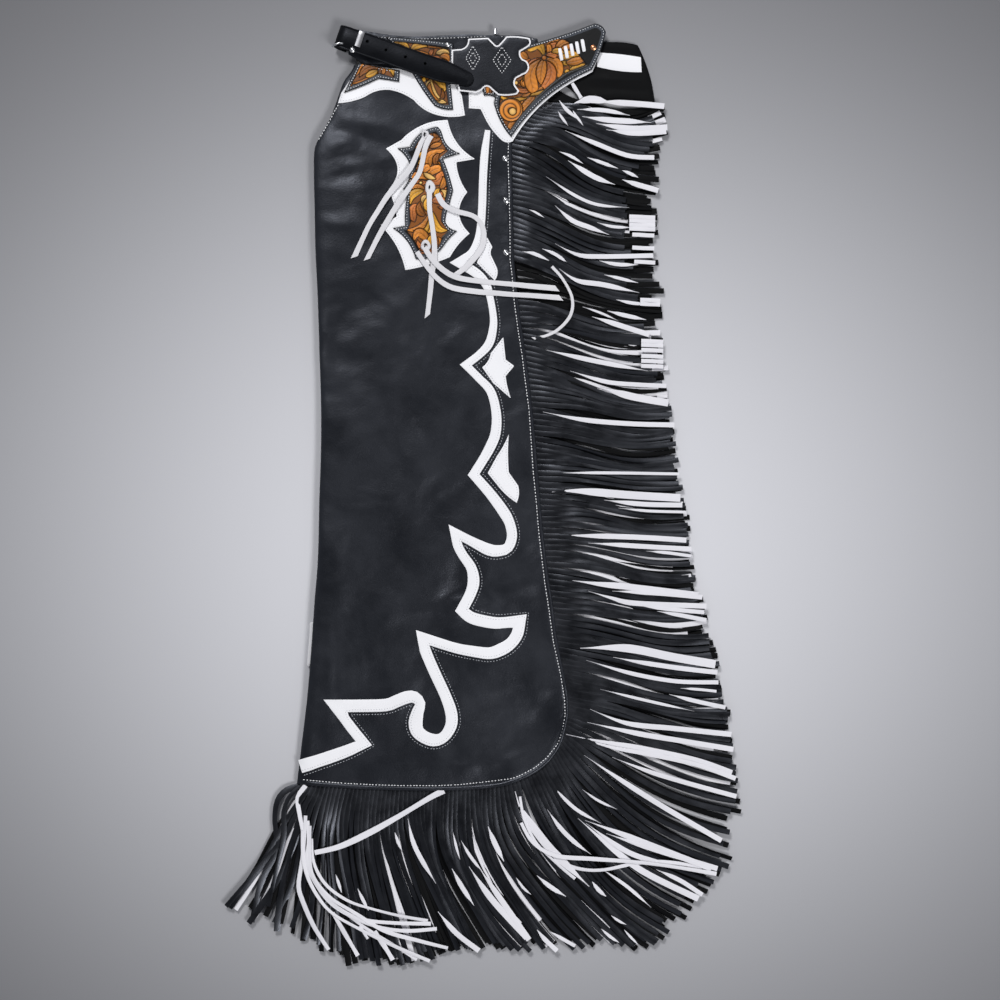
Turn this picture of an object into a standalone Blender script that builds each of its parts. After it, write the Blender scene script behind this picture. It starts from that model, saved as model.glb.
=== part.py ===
"""Leather chaps, folded in half at the waist and laid flat on their side.

Lengths are in millimetres until a mesh is made. X runs across the leg, Y up the leg
towards the belt, Z up from the surface that the chaps lie on.
"""
import math
import random

import bmesh
import bpy

MM = 0.001
SEAM_GAP = 0.3

# leather thicknesses
PANEL_WALL = 2.0
APPLIQUE_WALL = 1.2
STRAP_WALL = 2.8
LACE_WALL = 1.2

# heights above the surface
EDGE_TOP = 9.2
ROLL_RUN = 14.0
SEAT_RUN = 8.0
RETURN_RUN = 12.0
CORE_INSET = 12.0
CORE_GAP = 0.5
TOP_COLUMNS = 8

# how far each applied layer stands off the leg panel
LIFT_FIRST = SEAM_GAP
LIFT_SECOND = LIFT_FIRST + APPLIQUE_WALL + SEAM_GAP
LIFT_THIRD = LIFT_SECOND + APPLIQUE_WALL + SEAM_GAP
LIFT_FOURTH = LIFT_THIRD + APPLIQUE_WALL + SEAM_GAP
LIFT_FIFTH = LIFT_FOURTH + APPLIQUE_WALL + SEAM_GAP
LIFT_STRAP = LIFT_FIFTH + APPLIQUE_WALL + SEAM_GAP

# levels down the leg
LEG_TOP = 549.0
LEG_SPLIT = -262.0
CORE_TOP = 584.0
BELT_LEFT = -165.0

# folded edge of the leg: height up the leg, place across
LEFT_EDGE = [
    (602, -200), (562, -195), (556, -165), (526, -179), (500, -188), (480, -196), (457, -209),
    (442, -215), (416, -216), (365, -215), (314, -214), (250, -211), (186, -209), (122, -207),
    (58, -207), (-6, -209), (-83, -211), (-134, -215), (-218, -221), (-282, -227), (-339, -234),
    (-369, -238),
]

# seam edge of the leg and the round corner that leads into the hem
RIGHT_EDGE = [
    (602, 34), (557, 35), (452, 37), (390, 38), (339, 39), (301, 40), (250, 45), (211, 50),
    (147, 59), (70, 67), (-6, 73), (-83, 81), (-147, 90), (-186, 95), (-230, 104), (-262, 109),
    (-282, 109), (-301, 105), (-320, 99), (-339, 86), (-355, 67), (-369, 37),
]

# right edge of the hidden layers round the corner, clear of the fringe strips: up, across
CORE_CORNER = [
    (-262, 97), (-282, 96), (-297, 92), (-312, 86), (-327, 75), (-340, 57), (-352, 36),
]

# lower edge of the leg, from the fold to the round corner
HEM_EDGE = [
    (-238, -369), (-209, -372), (-170, -375), (-132, -377), (-55, -378), (6, -375), (37, -369),
    (67, -355), (86, -339), (99, -320), (105, -301), (109, -282),
]

# height of the fold's crown and of its seat on the layers below: up the leg, crown, seat
FOLD_HEIGHTS = [
    (602, 12.0, 5.4), (556, 12.5, 5.4), (480, 15.0, 6.5), (400, 17.0, 7.5), (-200, 17.0, 7.5),
    (-300, 13.5, 5.5), (-369, 10.8, 4.2),
]

# the slanting stretch of the fold beside the belt: a place on it and the way across it
FOLD_CORNER = (-165, 556)
FOLD_NORMAL = (0.925, -0.38, 0.0)

# levels at which the leg and its hidden layers have rows of points
LEG_LEVELS = [
    LEG_TOP, 533, 520, 507, 494, 474, 454, 434, 414, 394, 374, 352, 330, 308, 284, 255, 210, 160, 100,
    30, -40, -105, -165, -215, LEG_SPLIT,
]

# largest folds of the leather: centre across, centre up, half length, half width, height, turn
LEG_FOLDS = [
    (-165, 455, 60, 16, 1.6, 24),
    (-170, 412, 50, 15, 1.4, 12),
    (-176, 368, 42, 17, 1.6, -6),
    (-172, 322, 46, 15, 1.3, -12),
    (-185, 270, 38, 18, 1.2, 6),
    (-196, -235, 16, 80, 1.0, 0),
    (-120, 60, 70, 26, 0.7, 70),
    (-60, -330, 90, 12, 0.6, 2),
]

# scroll band, a row for each bend or point: across, up, width, True at a sharp point
SCROLL_BAND = [
    (6, 466, 7, False), (2, 435, 10, False), (0, 403, 10, False), (-1, 371, 10, False),
    (-3, 342, 10, False), (-7, 324, 10, False), (-15, 308, 11, False), (-31, 297, 12, True),
    (-8, 283, 12, False), (4, 269, 11, False), (9, 253, 9, False), (13, 230, 9, False),
    (13, 214, 10, False), (8, 194, 11, False), (-4, 180, 10, False), (-22, 166, 10, True),
    (-6, 150, 10, False), (10, 132, 11, False), (17, 104, 12, False), (16, 79, 13, False),
    (9, 61, 13, False), (0, 45, 12, False), (-12, 26, 12, True), (9, 2, 13, False),
    (26, -21, 14, False), (34, -36, 13, False), (37, -53, 13, False), (32, -67, 13, False),
    (22, -71, 14, False), (8, -70, 15, False), (-15, -59, 12, False), (-36, -48, 11, True),
    (-32, -65, 12, False), (-25, -78, 12, False), (-15, -93, 13, False), (-12, -110, 15, False),
    (-16, -126, 14, False), (-27, -147, 14, True), (-14, -157, 15, False), (12, -163, 15, False),
    (28, -163, 14, False), (47, -161, 15, True), (44, -177, 15, False), (36, -189, 15, False),
    (24, -197, 16, False), (9, -202, 15, False), (-10, -200, 14, False), (-36, -195, 13, False),
    (-77, -182, 13, True), (-74, -197, 14, False), (-68, -212, 14, False), (-60, -230, 14, False),
    (-48, -256, 14, False), (-41, -276, 15, False), (-40, -291, 15, False), (-45, -303, 14, False),
    (-53, -311, 14, False), (-63, -313, 16, False), (-75, -309, 16, False), (-84, -301, 17, False),
    (-86, -290, 18, False), (-83, -276, 15, False), (-80, -266, 13, False), (-87, -258, 15, False),
    (-97, -258, 16, False), (-110, -263, 16, False), (-124, -268, 16, False), (-157, -269, 16, False),
    (-188, -269, 16, True), (-179, -282, 13, False), (-168, -297, 13, False), (-152, -317, 13, True),
    (-172, -326, 15, False), (-194, -334, 16, False), (-212, -340, 16, False), (-217, -341.5, 16, False),
    (-221, -343, 17, False), (-225, -344, 17, False),
]

# cut outlines: across, up, and how far the stretch to the next point bows out
SCROLL_LEAF_UPPER = [
    (5, 330, 0), (12, 317, -1), (10, 307, 0), (18, 290, 2), (15, 274, 0), (-8, 297, 0), (0, 314, 0),
]
SCROLL_STAR = [
    (26, 202, 0), (29, 173, 0), (40, 165, 0), (29, 152, -1), (36, 123, 0), (13, 143, 0),
    (-1, 163, -2), (10, 181, 0),
]
SCROLL_LEAF_LOWER = [
    (33, 78, -1), (33, 29, 0), (45, 12, 2), (43, -10, 1), (22, 8, 0), (6, 28, 0), (18, 50, -1),
]
THIGH_WHITE = [
    (-45, 479, 7), (-104, 453, 0), (-124, 442, -13), (-120, 390, -1), (-110, 355, 0), (-131, 344, -5),
    (-99, 287, 2), (-42, 304, -2), (-17, 334, -12), (-20, 387, -3), (-34, 425, 0), (-10, 429, -7),
]
THIGH_BORDER = [
    (-58, 470, 6), (-93, 444, 0), (-109, 442, -13), (-102, 390, 0), (-95, 387, 2), (-99, 343, 0),
    (-115, 340, -5), (-86, 301, 0), (-77, 300, 3), (-49, 318, -1), (-32, 338, -11), (-38, 389, 1),
    (-51, 429, 0), (-29, 436, -5), (-52, 461, 1),
]
THIGH_CARVED = [
    (-64, 462, 4), (-86, 443, 0), (-81, 431, -2), (-94, 402, 0), (-93, 390, 1), (-92, 348, 0),
    (-94, 336, -2), (-79, 307, 1), (-60, 314, 1), (-46, 334, -1), (-56, 346, -3), (-47, 388, 1),
    (-58, 428, 0), (-46, 438, -1), (-55, 452, 1),
]
YOKE_LEFT_WHITE = [
    (-181, 513, 0), (-157, 548, 0), (-106, 544, 0), (-34, 526, 0), (-27, 510, 0), (-23, 485, 3),
    (-64, 487, 2), (-88, 504, -2), (-119, 517, -3), (-150, 508, 2), (-185, 500, 0),
]
LOBE_A_BORDER = [
    (-159, 551, 0), (-177, 513, 1), (-133, 531, 0), (-107, 527, 0), (-106, 541, 0),
]
LOBE_A_CARVED = [
    (-154, 546, 0), (-169, 523, 1), (-134, 539, 0), (-114, 533, 0), (-113, 538, 0),
]
LOBE_B_BORDER = [
    (-92, 541, 0), (-88, 535, 1), (-62, 497, 2), (-38, 492, 0), (-42, 531, 0),
]
LOBE_B_CARVED = [
    (-82, 536, 0), (-80, 531, 0), (-60, 505, 2), (-45, 499, 0), (-50, 530, 0),
]
BELT_CARVED = [
    (-118, 580, 1), (-41, 571, 0), (-41, 551, 0), (-59, 555, 0), (-105, 568, 0),
]
WING_WHITE = [
    (48, 573, -2), (138, 597, 0), (150, 592, 0), (150, 566, 0), (140, 541, 0), (131, 536, -10),
    (38, 452, 3), (22, 455, 2), (0, 487, 0), (-3, 493, 0), (-18, 494, 0), (-18, 517, 0),
    (22, 540, 0),
]
WING_BORDER = [
    (46, 572, -2), (142, 602, 3), (157, 591, 2), (139, 543, -10), (36, 457, 3), (14, 500, 0),
    (22, 540, 0),
]
WING_CARVED = [
    (48, 565, 1), (96, 582, 2), (112, 575, 0), (132, 549, 0), (106, 539, -5), (35, 466, 3),
    (20, 492, 0), (28, 540, 0),
]
CENTRE_PATCH = [
    (-38, 550, 0), (-38, 566, 0), (-27, 567, -3), (-17, 580, 0), (6, 581, 0), (12, 575, -4),
    (24, 575, 0), (31, 583, 1), (58, 581, 2), (56, 573, 0), (46, 567, -2), (50, 554, 2),
    (57, 546, 2), (50, 538, 0), (41, 533, -3), (42, 518, 2), (42, 513, 1), (20, 512, 0),
    (13, 518, -5), (-3, 518, 0), (-9, 515, 0), (-29, 517, 0),
]
LOWER_YOKE = [
    (19.4, 580, 0), (169, 580, 1), (198, 576, 4), (220, 500, 1), (175, 506, 0), (130, 506, 0),
    (106, 524, 0), (90, 528, 0), (19.4, 528, 0),
]
LOWER_YOKE_BAND = [
    (146, 566, 1), (202, 560, 0), (203, 541, 2), (146, 548, 0),
]
BELT_BAND = [
    (-168, 596, 0), (-130, 589, -1), (-81, 586, 0), (-16, 589, -1), (48, 588, 0), (70, 583, 0),
    (70, 552, 0), (-150, 550, 0), (-172, 563, 0),
]

# waist strap: along its middle, across, up
STRAP_LINE = [(-160, 577), (-125, 565), (-92, 553), (-52, 540), (-20, 530)]
STRAP_WIDTH = 29.0
STRAP_TURN_RADIUS = 9.0
STRAP_AHEAD = (0.946, -0.324)
KEEPER_PLACE = (-158, 576)
KEEPER_WALL = 1.4

# laces: across, up, height of the lace's underside above the leg panel
LACES = {
    "lace_top_a": [
        (-72, 460, 5.0), (-79, 448, 5.0), (-91, 419, 5.0), (-101, 406, 4.8), (-121, 382, 2.6),
        (-134, 362, 1.2), (-147, 340, 0.8), (-164, 303, 0.6),
    ],
    "lace_top_b": [
        (-66, 458, 6.8), (-73, 444, 7.0), (-80, 413, 5.6), (-90, 397, 5.2), (-109, 370, 4.0),
        (-120, 352, 2.8), (-133, 330, 1.4), (-148, 300, 0.6),
    ],
    "lace_middle_a": [
        (-68, 396, 5.0), (-68, 365, 5.0), (-65, 346, 5.0), (-62, 322, 5.0), (-62, 300, 4.6),
        (-65, 284, 2.0), (-67, 262, 0.8), (-71, 228, 0.6),
    ],
    "lace_middle_b": [
        (-58, 384, 5.0), (-50, 370, 5.0), (-34, 362, 4.4), (-14, 357, 2.8), (-4, 349, 2.2),
        (1, 337, 2.1), (0, 320, 2.1), (-8, 306, 2.1), (-22, 291, 2.1), (-38, 279, 1.2),
    ],
    "lace_low_a": [
        (-76, 318, 7.2), (-66, 302, 7.2), (-52, 288, 5.4), (-34, 278, 4.0), (-4, 273, 2.2),
        (40, 269, 0.8), (60, 267, 0.3), (95, 264, -0.4),
    ],
    "lace_low_b": [
        (-84, 310, 5.2), (-72, 292, 5.2), (-58, 276, 4.4), (-40, 265, 2.2), (-10, 260, 2.0),
        (15, 258, 2.0), (40, 256, 0.8), (60, 255, 0.3), (100, 252, -0.4),
    ],
}
LACE_WIDTH = 7.0
CURL_LACE = [
    (88, 292, -0.4), (102, 276, -0.4), (114, 252, -0.4), (112, 230, -0.4), (98, 213, -0.4),
    (82, 204, -0.4), (64, 200, -0.4),
]
CURL_LACE_WIDTH = 4.0

# fringe fans: root, middle and tip of a strand, and the share of it that the top layer reaches
FRINGE_UPPER_SIDE = [
    (106, 498, 160, 487, 231, 494, 0.95), (93, 490, 153, 469, 236, 467, 0.92),
    (79, 485, 150, 454, 229, 442, 0.92), (60, 467, 124, 439, 225, 413, 0.88),
    (41, 447, 114, 413, 221, 383, 0.86), (40, 410, 111, 375, 221, 349, 0.86),
    (40, 371, 111, 338, 221, 322, 0.86), (40, 332, 111, 300, 224, 285, 0.88),
    (41, 303, 111, 270, 228, 243, 0.90),
]
FRINGE_SIDE = [
    (46, 247, 124, 234, 229, 224, 0.92), (52, 205, 131, 183, 233, 170, 0.94),
    (60, 157, 143, 135, 236, 129, 1.0), (66, 106, 150, 91, 243, 85, 1.0),
    (69, 64, 156, 47, 248, 44, 1.0), (74, 0, 165, -17, 260, -22, 1.0),
    (81, -68, 173, -83, 268, -87, 1.0), (88, -134, 186, -150, 283, -155, 1.0),
    (97, -186, 201, -206, 301, -216, 1.0),
    (103, -219, 211, -246, 309, -256, 1.0),
]
FRINGE_CORNER = [
    (106, -233, 214, -264, 313, -278, 1.0), (111, -262, 216, -291, 320, -311, 1.0),
    (111, -285, 214, -329, 326, -362, 1.0), (108, -305, 201, -371, 324, -419, 1.0),
    (101, -320, 182, -401, 312, -470, 1.0), (90, -338, 156, -429, 285, -504, 1.0),
    (73, -352, 137, -454, 252, -544, 1.0), (50, -365, 105, -474, 214, -577, 1.0),
]
FRINGE_HEM = [
    (36, -370, 84, -478, 182, -578, 1.0), (3, -376, 28, -480, 105, -577, 1.0),
    (-29, -378, -6, -486, 60, -577, 1.0), (-61, -379, -45, -486, 9, -582, 1.0),
    (-93, -379, -81, -486, -36, -585, 1.0), (-125, -378, -119, -486, -87, -596, 1.0),
    (-157, -377, -156, -486, -134, -600, 1.0), (-177, -376, -183, -486, -170, -598, 1.0),
    (-192, -375, -207, -483, -209, -576, 1.0), (-203, -374, -230, -475, -244, -562, 1.0),
    (-212, -373, -250, -461, -283, -541, 1.0), (-220, -372, -265, -439, -324, -529, 1.0),
]
FRINGE_FANS = {
    "upper_side": FRINGE_UPPER_SIDE,
    "side": FRINGE_SIDE,
    "corner": FRINGE_CORNER,
    "hem": FRINGE_HEM,
}

# fringe layers: name, height of the underside, spacing of the strands, colour
FRINGE_LAYERS = [
    ("fringe_under", 0.8, 20.0, "black"),
    ("fringe_white", 3.0, 18.0, "white"),
    ("fringe_top", 5.2, 13.0, "black"),
]
FRINGE_WALL = 1.7
STRAND_WIDTH = 8.4
STRAND_SEGMENTS = 3
STRIP_DEPTH = 10.0
STRAND_HUMP = 1.4

# colours
COLOURS = {
    "black": (0.022, 0.023, 0.027, 1.0),
    "core": (0.016, 0.016, 0.018, 1.0),
    "white": (0.86, 0.85, 0.88, 1.0),
    "lace": (0.62, 0.61, 0.63, 1.0),
    "carved": (0.55, 0.20, 0.04, 1.0),
    "border": (0.07, 0.075, 0.09, 1.0),
    "steel": (0.62, 0.61, 0.60, 1.0),
}


def clear_scene():
    for old in list(bpy.data.objects):
        bpy.data.objects.remove(old, do_unlink=True)


def make_material(name, colour, roughness=0.5, metallic=0.0):
    material = bpy.data.materials.new(name)
    material.use_nodes = True
    shader = material.node_tree.nodes["Principled BSDF"]
    shader.inputs["Base Color"].default_value = COLOURS[colour]
    shader.inputs["Roughness"].default_value = roughness
    shader.inputs["Metallic"].default_value = metallic
    return material


# smooth lines

def clamp(value, low=0.0, high=1.0):
    return max(low, min(high, value))


def smooth(value):
    value = clamp(value)
    return value * value * (3.0 - 2.0 * value)


def blend(a, b, share):
    return tuple(p + (q - p) * share for p, q in zip(a, b))


def spline_point(before, start, end, after, share):
    """A point on the smooth curve from start to end."""
    point = []
    for p0, p1, p2, p3 in zip(before, start, end, after):
        slope_in = (p2 - p0) / 2.0
        slope_out = (p3 - p1) / 2.0
        s2 = share * share
        s3 = s2 * share
        point.append(
            (2 * s3 - 3 * s2 + 1) * p1 + (s3 - 2 * s2 + share) * slope_in
            + (3 * s2 - 2 * s3) * p2 + (s3 - s2) * slope_out
        )
    return tuple(point)


def smooth_run(points, step):
    """Points about a step apart on the smooth curve through the given ones."""
    line = [points[0]]
    for i in range(len(points) - 1):
        before = points[max(i - 1, 0)]
        after = points[min(i + 2, len(points) - 1)]
        start, end = points[i], points[i + 1]
        pieces = max(1, round(math.dist(start[:2], end[:2]) / step))
        for k in range(1, pieces + 1):
            line.append(spline_point(before, start, end, after, k / pieces))
    return line


def edge_at(table, height):
    """Place across of an edge at a height up the leg, smooth between the rows."""
    if height >= table[0][0]:
        return table[0][1]
    for i in range(len(table) - 1):
        high, low = table[i][0], table[i + 1][0]
        if height >= low:
            before = table[max(i - 1, 0)]
            after = table[min(i + 2, len(table) - 1)]
            share = (high - height) / (high - low)
            slope_in = (table[i + 1][1] - before[1]) / (before[0] - low) * (high - low)
            slope_out = (after[1] - table[i][1]) / (high - after[0]) * (high - low)
            s2 = share * share
            s3 = s2 * share
            return (
                (2 * s3 - 3 * s2 + 1) * table[i][1] + (s3 - 2 * s2 + share) * slope_in
                + (3 * s2 - 2 * s3) * table[i + 1][1] + (s3 - s2) * slope_out
            )
    return table[-1][1]


def along(points, share):
    """The point at a share of a line's length."""
    lengths = [math.dist(a[:2], b[:2]) for a, b in zip(points, points[1:])]
    target = clamp(share) * sum(lengths)
    for i, length in enumerate(lengths):
        if target <= length or i == len(lengths) - 1:
            return blend(points[i], points[i + 1], clamp(target / length))
        target -= length
    return points[-1]


# the leg's height above the surface

def fold_heights(height):
    """Crown and seat of the fold at a height up the leg."""
    if height >= FOLD_HEIGHTS[0][0]:
        return FOLD_HEIGHTS[0][1:]
    for upper, lower in zip(FOLD_HEIGHTS, FOLD_HEIGHTS[1:]):
        if height >= lower[0]:
            share = smooth((upper[0] - height) / (upper[0] - lower[0]))
            return blend(upper[1:], lower[1:], share)
    return FOLD_HEIGHTS[-1][1:]


def leg_folds(x, y):
    rise = 0.0
    for across, up, half_length, half_width, height, turn in LEG_FOLDS:
        c, s = math.cos(math.radians(turn)), math.sin(math.radians(turn))
        u = ((x - across) * c + (y - up) * s) / half_length
        v = (-(x - across) * s + (y - up) * c) / half_width
        rise += height * math.exp(-u * u - v * v)
    return rise


def flat_top(x, y):
    """Height of the leg's outer side, before the fold at its left rolls down."""
    left = edge_at(LEFT_EDGE, y)
    right = edge_at(RIGHT_EDGE, max(y, LEG_SPLIT))
    crown = fold_heights(y)[0]
    across = (x - left) / (right - left)
    near_edge = smooth((x - left) / (2.0 * ROLL_RUN)) * smooth((0.55 - across) / 0.2)
    return EDGE_TOP + (crown - EDGE_TOP) * (1.0 - smooth(across)) + leg_folds(x, y) * near_edge


def leg_top(x, y):
    """Height of the leg's outer side above the surface."""
    top = flat_top(x, y)
    run = x - edge_at(LEFT_EDGE, y)
    if run >= ROLL_RUN:
        return top
    crown, seat = fold_heights(y)
    middle = (crown + seat) / 2.0
    rest = 1.0 - clamp(run, 0.0, ROLL_RUN) / ROLL_RUN
    return middle + (top - middle) * math.sqrt(1.0 - rest * rest)


# meshes

def new_object(name, mesh, material):
    mesh.materials.append(material)
    thing = bpy.data.objects.new(name, mesh)
    PARTS.objects.link(thing)
    return thing


def mesh_object(name, points, faces, material):
    """A closed mesh from points in millimetres."""
    mesh = bpy.data.meshes.new(name)
    mesh.from_pydata([(x * MM, y * MM, z * MM) for x, y, z in points], [], faces)
    bm = bmesh.new()
    bm.from_mesh(mesh)
    bmesh.ops.recalc_face_normals(bm, faces=bm.faces)
    bm.to_mesh(mesh)
    bm.free()
    return new_object(name, mesh, material)


def loft(name, rings, material):
    """A closed body through rings with the same number of points."""
    size = len(rings[0])
    points = [point for ring in rings for point in ring]
    faces = [tuple(range(size)), tuple(range(len(points) - size, len(points)))]
    for r in range(len(rings) - 1):
        for k in range(size):
            a = r * size + k
            b = r * size + (k + 1) % size
            faces.append((a, b, b + size, a + size))
    return mesh_object(name, points, faces, material)


def wall_between(name, outer_rows, inner_rows, material):
    """A closed wall between two grids of points with the same rows and columns."""
    rows, columns = len(outer_rows), len(outer_rows[0])
    points = [p for row in outer_rows for p in row] + [p for row in inner_rows for p in row]
    offset = rows * columns
    faces = []
    for r in range(rows - 1):
        for c in range(columns - 1):
            a = r * columns + c
            quad = (a, a + 1, a + columns + 1, a + columns)
            faces.append(quad)
            faces.append(tuple(offset + k for k in reversed(quad)))
    rim = [(0, c) for c in range(columns)]
    rim += [(r, columns - 1) for r in range(1, rows)]
    rim += [(rows - 1, c) for c in range(columns - 2, -1, -1)]
    rim += [(r, 0) for r in range(rows - 2, 0, -1)]
    for (r1, c1), (r2, c2) in zip(rim, rim[1:] + rim[:1]):
        a, b = r1 * columns + c1, r2 * columns + c2
        faces.append((a, b, offset + b, offset + a))
    return mesh_object(name, points, faces, material)


def outline_points(rows, step=11.0):
    """A closed outline from its corners, with bowed stretches as arcs."""
    turn = sum(a[0] * b[1] - b[0] * a[1] for a, b in zip(rows, rows[1:] + rows[:1]))
    side = 1.0 if turn > 0 else -1.0
    points = []
    for start, end in zip(rows, rows[1:] + rows[:1]):
        dx, dy = end[0] - start[0], end[1] - start[1]
        length = math.hypot(dx, dy)
        pieces = 1 if start[2] == 0 else max(2, round(length / step))
        for k in range(pieces):
            share = k / pieces
            bow = start[2] * 4.0 * share * (1.0 - share) * side
            points.append((start[0] + dx * share + dy / length * bow,
                           start[1] + dy * share - dx / length * bow))
    return points


def grown(points, distance):
    """The outline moved out by a distance."""
    turn = sum(a[0] * b[1] - b[0] * a[1] for a, b in zip(points, points[1:] + points[:1]))
    side = 1.0 if turn > 0 else -1.0
    moved = []
    for before, here, after in zip(points[-1:] + points[:-1], points, points[1:] + points[:1]):
        in_x, in_y = here[0] - before[0], here[1] - before[1]
        out_x, out_y = after[0] - here[0], after[1] - here[1]
        in_length, out_length = math.hypot(in_x, in_y), math.hypot(out_x, out_y)
        normal_x = (in_y / in_length + out_y / out_length) * side
        normal_y = -(in_x / in_length + out_x / out_length) * side
        size = math.hypot(normal_x, normal_y)
        reach = min(distance * 2.0 / size, distance * 1.6)
        moved.append((here[0] + normal_x / size * reach, here[1] + normal_y / size * reach))
    return moved


def cut_sheet(bm, corner, normal):
    bmesh.ops.bisect_plane(bm, geom=bm.verts[:] + bm.edges[:] + bm.faces[:], dist=0.05,
                           plane_co=corner, plane_no=normal)


def draped_patch(name, points, lift, wall, material, cell=26.0, surface=leg_top):
    """A cut piece of leather that lies on the surface, a lift above it."""
    bm = bmesh.new()
    bm.faces.new([bm.verts.new((x, y, 0.0)) for x, y in points])
    for axis in (0, 1):
        low = min(p[axis] for p in points)
        high = max(p[axis] for p in points)
        for k in range(int(low // cell), int(high // cell) + 1):
            if low + 1.0 < cell * k < high - 1.0:
                corner = (cell * k, 0, 0) if axis == 0 else (0, cell * k, 0)
                normal = (1, 0, 0) if axis == 0 else (0, 1, 0)
                cut_sheet(bm, corner, normal)
    if surface is leg_top and min(p[0] for p in points) < FOLD_CORNER[0]:
        for run in (1.5, 5.0, 9.0, 14.0, 19.0):
            cut_sheet(bm, (FOLD_CORNER[0] + run, FOLD_CORNER[1], 0), FOLD_NORMAL)
    bmesh.ops.triangulate(bm, faces=bm.faces)
    bmesh.ops.recalc_face_normals(bm, faces=bm.faces)
    under = list(bm.verts)
    raised = bmesh.ops.extrude_face_region(bm, geom=bm.faces[:])["geom"]
    top = [v for v in raised if isinstance(v, bmesh.types.BMVert)]
    for vert in under:
        vert.co.z = surface(vert.co.x, vert.co.y) + lift
    for vert in top:
        vert.co.z = surface(vert.co.x, vert.co.y) + lift + wall
    for vert in bm.verts:
        vert.co *= MM
    bmesh.ops.recalc_face_normals(bm, faces=bm.faces)
    mesh = bpy.data.meshes.new(name)
    bm.to_mesh(mesh)
    bm.free()
    return new_object(name, mesh, material)


def ribbon_sections(rows, step):
    """Left and right points along a band, mitred at its sharp points."""
    runs = [[rows[0][:3]]]
    for x, y, width, sharp in rows[1:]:
        runs[-1].append((x, y, width))
        if sharp:
            runs.append([(x, y, width)])
    line = []
    for run in runs:
        if len(run) > 1:
            points = smooth_run(run, step)
            line += [p + (False,) for p in points[:-1]] if not line else [
                p + (k == 0,) for k, p in enumerate(points[:-1])]
    line.append(rows[-1][:3] + (False,))
    corners = []
    for i, here in enumerate(line):
        if here[3]:
            before, after = line[i - 1], line[i + 1]
            a = math.atan2(before[1] - here[1], before[0] - here[0])
            b = math.atan2(after[1] - here[1], after[0] - here[0])
            half = abs((a - b + math.pi) % (2 * math.pi) - math.pi) / 2.0
            corners.append((here, here[2] / 2.0 / math.tan(half) * 1.05))
    kept = [p for p in line if p[3] or all(math.dist(p[:2], c[:2]) > reach for c, reach in corners)]
    sections = []
    for i, here in enumerate(kept):
        before, after = kept[max(i - 1, 0)], kept[min(i + 1, len(kept) - 1)]
        in_x, in_y = here[0] - before[0], here[1] - before[1]
        out_x, out_y = after[0] - here[0], after[1] - here[1]
        in_length = math.hypot(in_x, in_y) or 1.0
        out_length = math.hypot(out_x, out_y) or 1.0
        tangent_x = in_x / in_length + out_x / out_length
        tangent_y = in_y / in_length + out_y / out_length
        size = math.hypot(tangent_x, tangent_y)
        reach = here[2] / 2.0
        if here[3]:
            reach = here[2] / size
        side_x, side_y = -tangent_y / size * reach, tangent_x / size * reach
        sections.append(((here[0] + side_x, here[1] + side_y), (here[0] - side_x, here[1] - side_y)))
    return sections


def ribbon(name, rows, lift, wall, material, step=13.0):
    """A band of leather that lies on the leg."""
    rings = []
    for left, right in ribbon_sections(rows, step):
        left_z = leg_top(*left) + lift
        right_z = leg_top(*right) + lift
        rings.append([left + (left_z,), right + (right_z,), right + (right_z + wall,),
                      left + (left_z + wall,)])
    return loft(name, rings, material)


# the leg and what it hides

def leg_columns(length):
    """Distances in from the fold at which a row across the leg has points."""
    last = length - CORE_INSET
    top = [ROLL_RUN + (last - ROLL_RUN) * k / TOP_COLUMNS for k in range(1, TOP_COLUMNS + 1)]
    return top + [length]


def rolled_section(place, top_height, crown, seat, runs, inset):
    """Points round the fold and over the top, an inset inside the leg's outer side."""
    middle = (crown + seat) / 2.0
    section = [place(RETURN_RUN) + (seat + inset,)]
    for angle in (90, 60, 30, 0):
        run = inset + (SEAT_RUN - inset) * (1.0 - math.cos(math.radians(angle)))
        drop = (middle - seat - inset) * math.sin(math.radians(angle))
        section.append(place(run) + (middle - drop,))
    for angle in (25, 50, 70, 90):
        run = inset + (ROLL_RUN - inset) * (1.0 - math.cos(math.radians(angle)))
        x, y = place(run)
        rise = (top_height(x, y) - inset - middle) * math.sin(math.radians(angle))
        section.append((x, y, middle + rise))
    for run in runs:
        x, y = place(run)
        section.append((x, y, top_height(x, y) - inset))
    return section


def leg_rows():
    """Lines across the leg, from its top to the hem, as places along each line."""
    rows = []
    for level in LEG_LEVELS:
        left, right = edge_at(LEFT_EDGE, level), edge_at(RIGHT_EDGE, level)
        rows.append([(left, level), (right, level)])
    top_line = [(edge_at(LEFT_EDGE, LEG_SPLIT), LEG_SPLIT), (edge_at(RIGHT_EDGE, LEG_SPLIT), LEG_SPLIT)]
    for share in (0.22, 0.44, 0.64, 0.84, 1.0):
        rows.append([blend(along(top_line, k / 24), along(HEM_EDGE, k / 24), share)
                     for k in range(25)])
    return rows


def make_upper_leg(material):
    outer_rows, inner_rows = [], []
    for row in leg_rows():
        length = sum(math.dist(a, b) for a, b in zip(row, row[1:]))
        crown, seat = fold_heights(row[0][1])

        def place(run, row=row, length=length):
            return along(row, run / length)

        runs = leg_columns(length)
        outer_rows.append(rolled_section(place, flat_top, crown, seat, runs, 0.0))
        inner_rows.append(rolled_section(place, flat_top, crown, seat, runs, PANEL_WALL))
    return wall_between("upper_leg", outer_rows, inner_rows, material)


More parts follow.
